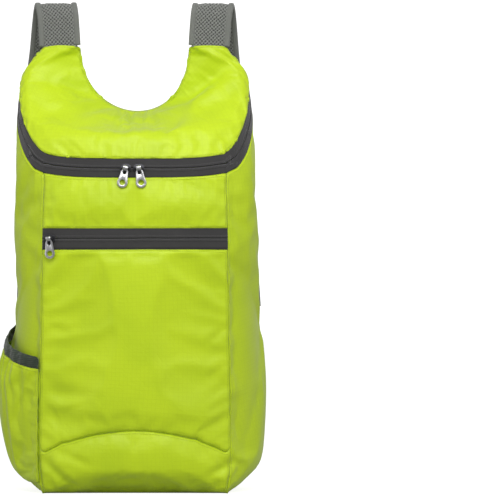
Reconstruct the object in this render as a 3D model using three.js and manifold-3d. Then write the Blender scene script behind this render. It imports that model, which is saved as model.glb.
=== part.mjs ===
// Packable backpack in thin ripstop cloth, standing and filled.
// Millimetres, +Z up, the bag's front faces -Y, its left side pocket is at -X.
// Every cloth panel is a closed wall: an outer grid of points, the same grid moved in by the wall, and a rim.

import * as THREE from 'three';
import { mergeVertices } from 'three/addons/utils/BufferGeometryUtils.js';
import Module from 'manifold-3d';

// Body
const bodyHeight = 412; // floor to the upper ends of the main zip, at the back seams
const frontSeamHalf = 96; // half the width between the two front seams
const sideHalf = 130; // half the width over the side gussets
const backSeamHalf = 113; // half the width between the two back seams
const bagDepth = 125; // front to back seam, where the bag is fullest
const frontCrown = 12; // how far the front stands proud of its seams
const backCrown = 6; // how far the back panel stands proud of its seams
const topLean = 3; // sideways lean of the shoulders
const clothWall = 1.5;
const backWall = 3; // padded back panel
const seamGap = 0.3;
const frontRoundness = 2.3; // how late the front turns back to its seams
const gussetShare = 0.27; // a gusset's share of the way round from back seam to back seam
const sectionWays = 9; // facets from the front seam to the back seam
const frontWays = 16; // facets across the front

// Lid and shoulders
const hornHeight = 453; // floor to the tops of the shoulders
const hornOuterHalf = 96; // half the width over the shoulders' outer corners
const hornInnerHalf = 55.5; // half the width of the neck opening at its top
const hornArch = 2.5;
const hornSetback = 94; // front plane to the back seam at the shoulders' tops
const neckDepth = 65; // neck opening, top to bottom
const neckRoundness = 0.91;
const gatherDepth = 1.4;
const gatherCount = 5;
const gatherHalf = 0.1; // half the gathers' spread, as a share of the lid's width
const lidWays = 10; // facets up the lid
const hornPlaces = [0, 0.12, 0.5, 0.88, 1]; // across a shoulder's top, the strap between the inner ones

// Zips
const mainZipHeight = 327; // centre line at the middle of the front
const mainZipCorner = 332; // centre line at the front seams
const pocketZipHeight = 256.6;
const zipBand = 18.5; // visible width of both tapes
const zipSlit = 0.5; // between the two tapes
const tapeWall = 1.2;
const zipTurn = 0.76; // below 1, the main zip turns up sooner round the front corner

// Arc seam across the lower front
const arcSide = 38;
const arcRise = 25.5;

// Sliders and pulls
const sliderLength = 11;
const sliderWidth = 8;
const sliderPlate = 1.8;
const sliderPost = 1.2;
const bridgeRadius = 0.55;
const bridgeSpan = 6.4; // between the two posts
const pullSwing = 0.3; // clearance of the pull round the bridge
const knuckleLength = 5;
const knuckleWall = 0.65;
const pullLength = 20.5;
const pullTopWidth = 7;
const pullRing = 5.3;
const pullRingHole = 2.9;
const pullSlotWidth = 3.6;
const pullSlotLength = 4.4;
const pullSheet = 1.2;
const mainSliderMiddle = -2.5; // where the two main sliders meet
const mainSliderGap = 2;
const pocketSliderInset = 8; // front seam to the pocket slider's middle
const pullLean = THREE.MathUtils.degToRad(12);

// Side pocket
const pocketFrontTop = 137.4; // floor to the pocket's edge at the front seam
const pocketRise = 40; // how much higher the edge is at the back seam
const pocketBulge = 9;
const pocketCrease = 3.2;
const pocketCreaseAt = 0.34;
const pocketGather = 1;
const pocketGatherCount = 7;
const bindingHeight = 10.5;
const bindingWall = 2;
const pocketWays = 20; // facets along the pocket's edge

// Shoulder straps
const strapWidth = 41;
const strapPad = 7;
const strapEdge = 5.5; // width of the binding down each edge
const strapSetback = 4.2; // middle of the strap in front of the back seam
const webbingWidth = 20;
const webbingWall = 1.5;
const adjusterLength = 12;
const adjusterBar = 3;
const adjusterWall = 4;
const adjusterPlay = 0.4;
const anchorHeight = 105;
const anchorReach = 7; // middle of the webbing's end past the back seam

// Body sections. Heights are shares of bodyHeight, front and rear are shares of bagDepth, and seam, side,
// back and crown are shares of frontSeamHalf, sideHalf, backSeamHalf and frontCrown.
const sections = [
  { height: 0.0, front: 0.120, seam: 0.970, side: 0.716, back: 0.824, rear: 0.900, crown: 0.00, lean: 0 },
  { height: 0.018, front: 0.045, seam: 0.985, side: 0.812, back: 0.900, rear: 0.958, crown: 0.50, lean: 0 },
  { height: 0.037, front: 0.018, seam: 0.995, side: 0.880, back: 0.946, rear: 0.984, crown: 0.75, lean: 0 },
  { height: 0.056, front: 0.008, seam: 1.000, side: 0.926, back: 0.974, rear: 0.996, crown: 0.88, lean: 0 },
  { height: 0.076, front: 0.003, seam: 1.004, side: 0.957, back: 0.986, rear: 1.000, crown: 0.95, lean: 0 },
  { height: 0.114, front: 0.000, seam: 1.003, side: 0.984, back: 0.992, rear: 1.000, crown: 1.00, lean: 0 },
  { height: 0.172, front: 0.000, seam: 1.000, side: 0.995, back: 0.992, rear: 0.998, crown: 1.08, lean: 0 },
  { height: 0.270, front: 0.000, seam: 0.995, side: 0.990, back: 0.990, rear: 0.990, crown: 1.12, lean: 0 },
  { height: 0.367, front: 0.002, seam: 0.985, side: 0.980, back: 0.988, rear: 0.974, crown: 1.12, lean: 0 },
  { height: 0.444, front: 0.004, seam: 0.980, side: 0.964, back: 0.985, rear: 0.958, crown: 1.10, lean: 0 },
  { height: 0.580, front: 0.010, seam: 0.974, side: 0.949, back: 0.978, rear: 0.930, crown: 1.05, lean: 0 },
  { height: 0.716, front: 0.024, seam: 0.964, side: 0.940, back: 0.966, rear: 0.898, crown: 1.00, lean: 0.0 },
  { height: 0.794, front: 0.042, seam: 0.955, side: 0.936, back: 0.962, rear: 0.876, crown: 1.00, lean: 0.0 },
  { height: 0.837, front: 0.066, seam: 0.945, side: 0.932, back: 0.968, rear: 0.862, crown: 1.00, lean: 0.2 },
  { height: 0.917, front: 0.150, seam: 0.920, side: 0.920, back: 0.986, rear: 0.826, crown: 1.00, lean: 0.7 },
  { height: 1.000, front: 0.260, seam: 0.890, side: 0.886, back: 0.996, rear: 0.786, crown: 1.00, lean: 0.9 },
  { height: 1.110, front: 0.420, seam: 0.840, side: 0.850, back: 0.980, rear: 0.752, crown: 1.00, lean: 1 },
];

// Soft folds of the lid: where along the lid and up it, how far the fold runs each way, its width, and its
// depth as a share of the gathers' depth.
const lidFolds = [
  { along: 0.76, up: 0.62, runAlong: -0.16, runUp: -0.40, width: 0.030, depth: 1.5 },
  { along: 0.83, up: 0.52, runAlong: -0.10, runUp: -0.30, width: 0.035, depth: 1.1 },
  { along: 0.27, up: 0.58, runAlong: 0.13, runUp: -0.05, width: 0.040, depth: 1.2 },
  { along: 0.20, up: 0.40, runAlong: 0.16, runUp: 0.22, width: 0.035, depth: 0.9 },
];

// Height profile of the side pocket: share of the way from the floor to its edge, and share of its bulge.
const pocketProfile = [
  { height: 0.00, bulge: 0.00 },
  { height: 0.14, bulge: 0.00 },
  { height: 0.30, bulge: 0.28 },
  { height: 0.50, bulge: 0.80 },
  { height: 0.68, bulge: 1.00 },
  { height: 0.82, bulge: 0.95 },
  { height: 0.93, bulge: 0.55 },
  { height: 1.00, bulge: 0.30 },
];

// Route of a shoulder strap from the slot in the shoulder, over the top and down behind the back. Out and up
// are shares of hornOuterHalf and hornHeight, behind is a share of bagDepth past the back seam at that height.
const strapRoute = [
  { out: 0.796, up: 0.9985, behind: 0.00, splay: 0.00 },
  { out: 0.808, up: 1.040, behind: 0.01, splay: 0.00 },
  { out: 0.824, up: 1.078, behind: 0.03, splay: 0.00 },
  { out: 0.836, up: 1.093, behind: 0.08, splay: 0.01 },
  { out: 0.848, up: 1.085, behind: 0.14, splay: 0.02 },
  { out: 0.862, up: 1.050, behind: 0.19, splay: 0.03 },
  { out: 0.880, up: 0.990, behind: 0.22, splay: 0.04 },
  { out: 0.910, up: 0.910, behind: 0.25, splay: 0.06 },
  { out: 0.950, up: 0.780, behind: 0.27, splay: 0.06 },
  { out: 1.000, up: 0.640, behind: 0.26, splay: 0.05 },
  { out: 1.060, up: 0.500, behind: 0.20, splay: 0.03 },
  { out: 1.100, up: 0.410, behind: 0.14, splay: 0.00 },
];

const strapSides = [
  { name: 'left', side: -1, splay: 1 },
  { name: 'right', side: 1, splay: 0.4 },
];

const colours = {
  lid: 0xc9e04d, body: 0xb9d83f, low: 0xa4c82a, tape: 0x454446, steel: 0xb9b9bc, slider: 0x3c3b3e,
  mesh: 0x747671, binding: 0x6c6e6a, elastic: 0x485649, webbing: 0x40413d, back: 0x9dbf2c,
};

const wasm = await Module();
wasm.setup();

// Values between the rows of a table, with no overshoot
function smoothTable(rows, key, column) {
  const at = rows.map((row) => row[key]);
  const value = rows.map((row) => row[column]);
  const step = at.slice(1).map((next, i) => (value[i + 1] - value[i]) / (next - at[i]));
  const slope = value.map((_, i) => {
    if (i === 0) return step[0];
    if (i === value.length - 1) return step[i - 1];
    return step[i - 1] * step[i] <= 0 ? 0 : (2 * step[i - 1] * step[i]) / (step[i - 1] + step[i]);
  });
  return (x) => {
    const clamped = THREE.MathUtils.clamp(x, at[0], at[at.length - 1]);
    let i = at.findIndex((next) => next > clamped) - 1;
    if (i < 0) i = at.length - 2;
    const length = at[i + 1] - at[i];
    const s = (clamped - at[i]) / length;
    const rest = 1 - s;
    return (
      value[i] * rest * rest * (1 + 2 * s) + slope[i] * length * s * rest * rest +
      value[i + 1] * s * s * (3 - 2 * s) - slope[i + 1] * length * s * s * rest
    );
  };
}

const column = {};
for (const name of ['front', 'seam', 'side', 'back', 'rear', 'crown', 'lean']) {
  column[name] = smoothTable(sections, 'height', name);
}

function section(z) {
  const share = z / bodyHeight;
  return {
    front: bagDepth * column.front(share),
    seam: frontSeamHalf * column.seam(share),
    side: sideHalf * column.side(share),
    back: backSeamHalf * column.back(share),
    rear: rearAt(z),
    crown: frontCrown * column.crown(share),
    lean: -topLean * column.lean(share),
  };
}

function rearAt(z) {
  const low = bagDepth * column.rear(Math.min(z / bodyHeight, 1));
  const past = Math.max(0, (z - bodyHeight) / (hornHeight - bodyHeight));
  return THREE.MathUtils.lerp(low, hornSetback, Math.min(past, 1));
}

// A point of the front, across from -1 at the left seam to 1 at the right seam
function frontPoint(across, z) {
  const s = section(z);
  return new THREE.Vector3(
    s.lean + s.seam * across, s.front + s.crown * Math.abs(across) ** frontRoundness, z,
  );
}

// A point of a side gusset, round from 0 at the front seam to 1 at the back seam
function gussetPoint(side, round, z) {
  const s = section(z);
  const seamDepth = s.front + s.crown;
  const reach = s.rear - seamDepth;
  // The middle of the curve is (start + 3 * first + 3 * second + end) / 8, and has to reach the side's width
  const early = 0.15;
  const out = (8 * s.side - (1 + 3 * early) * s.seam - s.back) / (6 - 3 * early);
  const bend = new THREE.CubicBezierCurve(
    new THREE.Vector2(s.seam, seamDepth),
    new THREE.Vector2(THREE.MathUtils.lerp(out, s.seam, early), seamDepth + 0.2 * reach),
    new THREE.Vector2(out, seamDepth + 0.8 * reach),
    new THREE.Vector2(s.back, s.rear),
  ).getPoint(round);
  return new THREE.Vector3(s.lean + side * bend.x, bend.y, z);
}

// Round the bag from the left back seam (0) over the front to the right back seam (1)
function roundPoint(around, z) {
  if (around < gussetShare) return gussetPoint(-1, 1 - around / gussetShare, z);
  if (around > 1 - gussetShare) return gussetPoint(1, 1 - (1 - around) / gussetShare, z);
  return frontPoint((around - 0.5) / (0.5 - gussetShare), z);
}

function mainZipLine(around) {
  const past = Math.abs(around - 0.5) - (0.5 - gussetShare);
  if (past <= 0) {
    const across = (around - 0.5) / (0.5 - gussetShare);
    return THREE.MathUtils.lerp(mainZipHeight, mainZipCorner, across ** 4);
  }
  const round = past / gussetShare;
  const rise = Math.sin((Math.PI / 2) * Math.min(round, 1) ** zipTurn) ** 2;
  return THREE.MathUtils.lerp(mainZipCorner, bodyHeight, rise);
}

// Height of a line that runs beside the zip's centre, at a true distance from it
function besideZip(around, distance) {
  const step = 0.004;
  const low = Math.max(0, around - step);
  const high = Math.min(1, around + step);
  const height = mainZipLine(around);
  const run = roundPoint(low, height).distanceTo(roundPoint(high, height));
  const slope = (mainZipLine(high) - mainZipLine(low)) / run;
  return height + distance * Math.sqrt(1 + slope * slope);
}

// Every seam's rims point to the same inner plate, so neighbouring panels have parallel rims
const coreHalf = 0.5 * frontSeamHalf;
const coreDepth = 0.5 * bagDepth;
const coreLow = 0.14 * bodyHeight;
const coreHigh = 0.78 * bodyHeight;

function toCore(point) {
  const across = THREE.MathUtils.clamp(point.x, -coreHalf, coreHalf);
  const height = THREE.MathUtils.clamp(point.z, coreLow, coreHigh);
  return new THREE.Vector3(across, coreDepth, height).sub(point).normalize();
}

function evenSteps(from, to, count) {
  return Array.from({ length: count + 1 }, (_, i) => THREE.MathUtils.lerp(from, to, i / count));
}

// A closed wall from a surface. Steps along and up are the surface's two parameters.
// rim gives the inward direction on the edges, and the surface's own normal serves elsewhere, unless the wall
// has an inner surface of its own.
function wall({ surface, innerSurface, along, up, thickness, rim, inside }) {
  const columns = along.length;
  const rows = up.length;
  const outer = along.map((a) => up.map((b) => surface(a, b)));
  const inner = outer.map((line, i) => line.map((point, j) => {
    if (innerSurface) return innerSurface(along[i], up[j]);
    const onEdge = i === 0 || j === 0 || i === columns - 1 || j === rows - 1;
    if (onEdge && rim) return point.clone().addScaledVector(rim(point, along[i], up[j]), thickness);
    const du = outer[Math.min(i + 1, columns - 1)][j].clone().sub(outer[Math.max(i - 1, 0)][j]);
    const dv = outer[i][Math.min(j + 1, rows - 1)].clone().sub(outer[i][Math.max(j - 1, 0)]);
    const normal = du.cross(dv).normalize();
    if (normal.dot(inside(point)) < 0) normal.negate();
    return point.clone().addScaledVector(normal, thickness);
  }));
  const points = [];
  const index = new Map();
  const vertex = (layer, i, j) => {
    const key = `${layer} ${i} ${j}`;
    if (!index.has(key)) {
      index.set(key, points.length);
      points.push((layer ? inner : outer)[i][j]);
    }
    return index.get(key);
  };
  const faces = [];
  const quad = (a, b, c, d) => {
    const short = points[a].distanceTo(points[c]) <= points[b].distanceTo(points[d]);
    if (short) faces.push([a, b, c], [a, c, d]);
    else faces.push([a, b, d], [b, c, d]);
  };
  for (let i = 0; i < columns - 1; i += 1) {
    for (let j = 0; j < rows - 1; j += 1) {
      quad(vertex(0, i, j), vertex(0, i + 1, j), vertex(0, i + 1, j + 1), vertex(0, i, j + 1));
      quad(vertex(1, i, j + 1), vertex(1, i + 1, j + 1), vertex(1, i + 1, j), vertex(1, i, j));
    }
  }
  const border = [];
  for (let i = 0; i < columns - 1; i += 1) border.push([i, 0]);
  for (let j = 0; j < rows - 1; j += 1) border.push([columns - 1, j]);
  for (let i = columns - 1; i > 0; i -= 1) border.push([i, rows - 1]);
  for (let j = rows - 1; j > 0; j -= 1) border.push([0, j]);
  border.forEach(([i, j], k) => {
    const [ni, nj] = border[(k + 1) % border.length];
    quad(vertex(0, ni, nj), vertex(0, i, j), vertex(1, i, j), vertex(1, ni, nj));
  });
  return closedGeometry(points, faces);
}

// An indexed geometry whose faces point outwards
function closedGeometry(points, faces) {
  const volume = faces.reduce(
    (sum, [a, b, c]) => sum + points[a].dot(points[b].clone().cross(points[c])), 0,
  );
  const turned = volume < 0 ? faces.map(([a, b, c]) => [a, c, b]) : faces;
  const geometry = new THREE.BufferGeometry().setFromPoints(points);
  geometry.setIndex(turned.flat());
  return geometry;
}

function toManifold(geometry) {
  const bare = geometry.clone();
  bare.deleteAttribute('normal');
  bare.deleteAttribute('uv');
  const merged = mergeVertices(bare, 1e-4);
  return new wasm.Manifold(new wasm.Mesh({
    numProp: 3,
    vertProperties: new Float32Array(merged.attributes.position.array),
    triVerts: new Uint32Array(merged.index.array),
  }));
}

function fromManifold(solid) {
  const mesh = solid.getMesh();
  const geometry = new THREE.BufferGeometry();
  geometry.setAttribute('position', new THREE.BufferAttribute(new Float32Array(mesh.vertProperties), 3));
  geometry.setIndex(new THREE.BufferAttribute(new Uint32Array(mesh.triVerts), 1));
  return geometry;
}

function joined(geometries) {
  return fromManifold(geometries.map(toManifold).reduce((whole, next) => whole.add(next)));
}

function cut(geometry, tools) {
  const solid = toManifold(geometry);
  return fromManifold(tools.map(toManifold).reduce((whole, next) => whole.subtract(next), solid));
}

const bag = new THREE.Group();

function add(name, geometry, colour, { roughness = 0.6, metalness = 0 } = {}) {
  geometry.computeVertexNormals();
  const material = new THREE.MeshStandardMaterial({ color: colour, roughness, metalness });
  material.name = name;
  const mesh = new THREE.Mesh(geometry, material);
  mesh.name = name;
  bag.add(mesh);
  return mesh;
}

const bandEdge = zipBand / 2 + seamGap;
const seamPull = seamGap / (2 * frontSeamHalf);

// Neighbouring panels share these steps along their seams, so that their facets lie side by side
const acrossSteps = evenSteps(-1 + seamPull, 1 - seamPull, frontWays);
const roundSteps = evenSteps(0.004, 0.997, sectionWays);
const lowSteps = [0, 0.14, 0.3, 0.5, 0.74, 1];
const highSteps = evenSteps(0, 1, sectionWays);
const zipSteps = [
  ...roundSteps.map((round) => gussetShare * (1 - round)).reverse(),
  ...acrossSteps.map((across) => 0.5 + across * (0.5 - gussetShare)),
  ...roundSteps.map((round) => 1 - gussetShare * (1 - round)),
];

function arcSeam(across) {
  return arcSide + arcRise * (1 - across * across);
}

// Front panels, from the base up to the main zip
function addFrontPanels() {
  const pocketZipLow = pocketZipHeight - bandEdge;
  const pocketZipHigh = pocketZipHeight + bandEdge;
  const mainZipLow = (across) => besideZip(0.5 + across * (0.5 - gussetShare), -bandEdge);
  const common = { along: acrossSteps, thickness: clothWall, rim: toCore, inside: toCore };
  add('pocket_panel', wall({
    ...common,
    surface: (a, b) => frontPoint(a, THREE.MathUtils.lerp(arcSeam(a) + seamGap / 2, pocketZipLow, b)),
    up: evenSteps(0, 1, 10),
  }), colours.body);
  add('front_panel', wall({
    ...common,
    surface: (a, b) => frontPoint(a, THREE.MathUtils.lerp(pocketZipHigh, mainZipLow(a), b)),
    up: evenSteps(0, 1, 4),
  }), colours.body);
}

// The base runs from the arc seam down the front and back under the bag
function addBase() {
  const floor = section(0);
  const base = (across, b) => {
    if (b <= 0) return frontPoint(across, -b * (arcSeam(across) - seamGap / 2));
    const start = frontPoint(across, 0);
    return new THREE.Vector3(start.x, THREE.MathUtils.lerp(start.y, floor.rear - seamGap, b), 0);
  };
  add('base_panel', wall({
    surface: base,
    along: acrossSteps,
    up: [...lowSteps.slice(1).reverse().map((share) => -share), ...evenSteps(0, 1, 5)],
    thickness: clothWall,
    rim: toCore,
    inside: toCore,
  }), colours.low);
}

// Heights of a gusset's rows: shares of the arc seam's side height up to it, and of the rest above it
function gussetLevel(top, b) {
  return b <= 1 ? arcSide * b : THREE.MathUtils.lerp(arcSide, top, b - 1);
}

const gussetSteps = [...lowSteps, ...highSteps.slice(1).map((share) => 1 + share)];

function addGussets() {
  for (const { name, side } of strapSides) {
    const surface = (round, b) => {
      const around = side < 0 ? gussetShare * (1 - round) : 1 - gussetShare * (1 - round);
      return gussetPoint(side, round, gussetLevel(besideZip(around, -bandEdge), b));
    };
    add(`gusset_${name}`, wall({
      surface,
      along: roundSteps,
      up: gussetSteps,
      thickness: clothWall,
      rim: toCore,
      inside: toCore,
    }), colours.low);
  }
}

// Zip tapes
function addZipTapes() {
  const strips = [
    { name: 'upper', near: zipSlit / 2, far: zipBand / 2 },
    { name: 'lower', near: -zipSlit / 2, far: -zipBand / 2 },
  ];
  for (const { name, near, far } of strips) {
    add(`main_zip_tape_${name}`, wall({
      surface: (a, b) => roundPoint(a, besideZip(a, THREE.MathUtils.lerp(near, far, b))),
      along: zipSteps,
      up: [0, 1],
      thickness: tapeWall,
      rim: toCore,
      inside: toCore,
    }), colours.tape, { roughness: 0.8 });
    add(`pocket_zip_tape_${name}`, wall({
      surface: (a, b) => frontPoint(a, pocketZipHeight + THREE.MathUtils.lerp(near, far, b)),
      along: acrossSteps,
      up: [0, 1],
      thickness: tapeWall,
      rim: toCore,
      inside: toCore,
    }), colours.tape, { roughness: 0.8 });
  }
}

// The lid's upper edge: left shoulder top, neck opening, right shoulder top
const hornShare = zipSteps[hornPlaces.length - 1];
const strapSlot = strapPad + clothWall + 3 * seamGap;

// Across a shoulder's top, from 0 at its outer corner to 1 at the neck opening, and past 1 beyond it
function acrossHorn(along) {
  const from = Math.min(along, 1 - along);
  if (from >= hornShare) return from / hornShare;
  const i = Math.max(1, zipSteps.findIndex((step) => step > from));
  const share = (from - zipSteps[i - 1]) / (zipSteps[i] - zipSteps[i - 1]);
  return Math.max(0, THREE.MathUtils.lerp(hornPlaces[i - 1], hornPlaces[i], share));
}

function topEdge(along) {
  const inHorn = acrossHorn(along);
  const side = along < 0.5 ? -1 : 1;
  if (inHorn <= 1) {
    return new THREE.Vector2(
      -topLean + side * THREE.MathUtils.lerp(hornOuterHalf, hornInnerHalf, inHorn),
      hornHeight + hornArch * 4 * inHorn * (1 - inHorn),
    );
  }
  const turn = Math.PI * (along - hornShare) / (1 - 2 * hornShare);
  const centre = -topLean * Math.cos(turn) ** 2;
  return new THREE.Vector2(
    centre - hornInnerHalf * Math.cos(turn), hornHeight - neckDepth * Math.sin(turn) ** neckRoundness,
  );
}

// How far the lid's edge stands in front of the back panel: a sleeve for the strap at each shoulder
function sleeve(along) {
  const inHorn = acrossHorn(along);
  const [, opens, , closes] = hornPlaces;
  const opened = THREE.MathUtils.smoothstep(inHorn, 0, opens);
  const closed = THREE.MathUtils.smoothstep(inHorn, closes, 1);
  return seamGap + strapSlot * opened * (1 - closed);
}

// How far a point of the lid is pressed in by the gathers under the neck opening and by the soft folds
function foldDepth(along, up) {
  const off = (along - 0.5) / gatherHalf;
  const gather = Math.exp(-(off ** 2)) * Math.cos(Math.PI * gatherCount * off);
  const rise = THREE.MathUtils.smoothstep(up, 0.45, 0.9) * (1 - THREE.MathUtils.smoothstep(up, 0.93, 1));
  let depth = 0.8 * gather * rise;
  for (const fold of lidFolds) {
    const run = new THREE.Vector2(fold.runAlong, fold.runUp);
    const from = new THREE.Vector2(along - fold.along, up - fold.up);
    const share = THREE.MathUtils.clamp(from.dot(run) / run.lengthSq(), 0, 1);
    const beside = from.addScaledVector(run, -share).length() / fold.width;
    depth += fold.depth * Math.exp(-beside * beside) * Math.sin(Math.PI * (0.15 + 0.7 * share));
  }
  return gatherDepth * depth;
}

// A point of the lid, along from the left back seam to the right one and up from the main zip to its upper
// edge. The cloth leaves the zip in line with the body below and arrives at the back panel as a dome.
function lidPoint(along, up) {
  const low = besideZip(along, bandEdge);
  const start = roundPoint(along, low);
  const edge = topEdge(along);
  const end = new THREE.Vector3(edge.x, rearAt(edge.y) - sleeve(along), edge.y);
  const rise = roundPoint(along, low + 4).sub(start).normalize();
  const chord = end.clone().sub(start);
  const reach = chord.length();
  const middle = Math.sin(Math.PI * along) ** 2;
  const leave = rise.multiplyScalar(reach * (0.8 + 0.5 * middle));
  leave.y -= 0.12 * reach * middle;
  const arrive = new THREE.Vector3(chord.x, 0, chord.z).setLength(reach * (0.95 - 0.35 * middle));
  arrive.y += reach * (0.1 + 0.85 * middle);
  const rest = 1 - up;
  const point = new THREE.Vector3()
    .addScaledVector(start, rest * rest * (1 + 2 * up))
    .addScaledVector(leave, up * rest * rest)
    .addScaledVector(end, up * up * (3 - 2 * up))
    .addScaledVector(arrive, -up * up * rest);
  point.y += foldDepth(along, up) * Math.sin(Math.PI * up) ** 0.5;
  return point;
}

// On the lid's edges that lie on the back panel, the wall keeps to the panel's plane
function lidRim(point, along, up) {
  if (up < 1e-6) return toCore(point);
  if (Math.min(along, 1 - along) < hornShare) {
    const shoulder = Math.sign(along - 0.5) * 0.5 * (hornOuterHalf + hornInnerHalf);
    return new THREE.Vector3(shoulder, point.y, hornHeight - neckDepth).sub(point).setY(-0.2).normalize();
  }
  const turn = Math.PI * (along - hornShare) / (1 - 2 * hornShare);
  return new THREE.Vector3(-Math.cos(turn), -0.2, -Math.sin(turn)).normalize();
}

function addLid() {
  add('lid_panel', wall({
    surface: lidPoint,
    along: zipSteps,
    up: evenSteps(0, 1, lidWays),
    thickness: clothWall,
    rim: lidRim,
    inside: (point) => new THREE.Vector3(-point.x / hornOuterHalf, 1, -1),
  }), colours.lid);
}

// Back panel: straight up to the shoulders, then a patch between the side edges and the neck opening
const zipEnd = bodyHeight + bandEdge;

function backOutline(side, b) {
  const height = hornHeight * b;
  if (height <= zipEnd) {
    const s = section(height);
    return new THREE.Vector2(s.lean + side * s.back, height);
  }
  const along = side < 0 ? zipSteps[0] : zipSteps[zipSteps.length - 1];
  let low = 0;
  let high = 1;
  for (let i = 0; i < 24; i += 1) {
    const middle = (low + high) / 2;
    if (lidPoint(along, middle).z < height) low = middle;
    else high = middle;
  }
  return new THREE.Vector2(lidPoint(along, high).x, height);
}

function backStand(across, b) {
  return backCrown * (1 - across * across) * Math.sin(Math.PI * Math.min(b, 0.9) / 0.9) ** 0.6;
}

function addBack() {
  const patchFrom = 0.62;
  const surface = (across, b) => {
    const share = (across + 1) / 2;
    const left = backOutline(-1, b);
    const right = backOutline(1, b);
    const flat = left.clone().lerp(right, share);
    if (b > patchFrom) {
      const up = (b - patchFrom) / (1 - patchFrom);
      const top = topEdge(share);
      const corner = topEdge(0).lerp(topEdge(1), share);
      flat.addScaledVector(top.sub(corner), up ** 1.2);
    }
    return new THREE.Vector3(flat.x, rearAt(flat.y) + seamGap + backStand(across, b), flat.y);
  };
  const half = [...zipSteps.slice(1, hornPlaces.length), ...evenSteps(hornShare, 0.5, 7).slice(1)];
  half.unshift(0);
  const shares = [...half, ...half.slice(0, -1).reverse().map((a) => 1 - a)];
  const low = gussetSteps.map((b) => gussetLevel(zipEnd, b) / hornHeight);
  const high = evenSteps(zipEnd / hornHeight, 1, 4).slice(1);
  add('back_panel', wall({
    surface,
    along: shares.map((share) => 2 * share - 1),
    up: [...low, ...high],
    thickness: backWall,
    rim: () => new THREE.Vector3(0, 1, 0),
    inside: () => new THREE.Vector3(0, 1, 0),
  }), colours.back);
}

// Side pocket on the left gusset, open at its top edge, where an elastic binding gathers it
const pocketHeightBulge = smoothTable(pocketProfile, 'height', 'bulge');

function pocketTop(round) {
  return pocketFrontTop + pocketRise * round ** 1.3;
}

// A point of the pocket: the gusset below it, moved out by the pocket's belly, its crease and its gathers
function pocketPoint(round, height, extra) {
  const share = height / pocketTop(round);
  const step = 0.01;
  const here = gussetPoint(-1, round, height);
  const along = gussetPoint(-1, Math.min(round + step, 1), height)
    .sub(gussetPoint(-1, Math.max(round - step, 0), height));
  const upward = gussetPoint(-1, round, height + 1).sub(gussetPoint(-1, round, Math.max(height - 1, 0)));
  const out = along.cross(upward).normalize();
  if (out.dot(toCore(here)) > 0) out.negate();
  const belly = Math.sin(Math.PI * round) ** 0.8;
  const crease = Math.exp(-(((round - pocketCreaseAt) / 0.07) ** 2)) * Math.sin(Math.PI * share) ** 0.5;
  const nearEdge = THREE.MathUtils.smoothstep(share, 0.6, 0.9);
  const gather = Math.cos(2 * Math.PI * pocketGatherCount * round) * belly * nearEdge;
  const bulgeHere = pocketHeightBulge(share);
  const bulge = pocketBulge * belly * bulgeHere;
  const pressed = Math.min(pocketCrease * crease * bulgeHere, bulge);
  const ruffle = pocketGather * 0.5 * (1 + gather) * belly * nearEdge;
  return here.addScaledVector(out, clothWall + seamGap + extra + bulge - pressed + ruffle);
}

function addSidePocket() {
  const along = evenSteps(0.012, 0.988, pocketWays);
  const clothLevel = (a, b) => gussetLevel(pocketTop(a) - bindingHeight - seamGap, b);
  const bindingLevel = (a, b) => pocketTop(a) - bindingHeight * (1 - b);
  add('side_pocket', wall({
    surface: (a, b) => pocketPoint(a, clothLevel(a, b), 0),
    innerSurface: (a, b) => pocketPoint(a, clothLevel(a, b), -clothWall),
    along,
    up: [...lowSteps.slice(2), ...evenSteps(1, 2, 6).slice(1)],
  }), colours.low);
  const proud = bindingWall - clothWall;
  add('side_pocket_binding', wall({
    surface: (a, b) => pocketPoint(a, bindingLevel(a, b), proud),
    innerSurface: (a, b) => pocketPoint(a, bindingLevel(a, b), proud - bindingWall),
    along,
    up: [0, 0.5, 1],
  }), colours.elastic, { roughness: 0.9 });
}

// A band along a route: a section of points (across, thick) carried along the curve. Each face's diagonal
// rises with the thickness, so that two bands side by side have the same facets between them.
function band({ route, steps, profile }) {
  const points = [];
  const faces = [];
  const rings = steps.length;
  const count = profile.length;
  steps.forEach((t) => {
    const { centre, across, thick } = route(t);
    profile.forEach(([a, b]) => {
      points.push(centre.clone().addScaledVector(across, a).addScaledVector(thick, b));
    });
  });
  for (let i = 0; i < rings - 1; i += 1) {
    for (let j = 0; j < count; j += 1) {
      const k = (j + 1) % count;
      const [a, b, c, d] = [i * count + j, i * count + k, (i + 1) * count + k, (i + 1) * count + j];
      const rising = profile[k][1] >= profile[j][1];
      if (rising) faces.push([a, b, c], [a, c, d]);
      else faces.push([a, b, d], [b, c, d]);
    }
  }
  const last = (rings - 1) * count;
  for (let j = 1; j < count - 1; j += 1) {
    faces.push([0, j + 1, j], [last, last + j, last + j + 1]);
  }
  return closedGeometry(points, faces);
}

function strapCurve({ side, splay }) {
  return new THREE.CatmullRomCurve3(strapRoute.map((row) => {
    const height = hornHeight * row.up;
    const lean = -topLean * THREE.MathUtils.smoothstep(height, mainZipHeight, bodyHeight);
    return new THREE.Vector3(
      lean + side * hornOuterHalf * (row.out + row.splay * splay),
      rearAt(height) - strapSetback + bagDepth * row.behind,
      height,
    );
  }), false, 'centripetal');
}

// The level direction across a run
function levelAcross(run) {
  const across = new THREE.Vector3(1, 0, 0);
  return across.addScaledVector(run, -across.dot(run)).normalize();
}

// Frame along a strap: its width stays level, its thickness is square to its run
function strapFrame(curve) {
  return (t) => {
    const run = curve.getTangent(t);
    const across = levelAcross(run);
    return { centre: curve.getPoint(t), across, thick: run.clone().cross(across).normalize() };
  };
}

function roundedBand(from, to, half, soft) {
  return [
    [from, -half + soft], [from + soft, -half], [to - soft, -half], [to, -half + soft],
    [to, half - soft], [to - soft, half], [from + soft, half], [from, half - soft],
  ];
}

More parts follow.
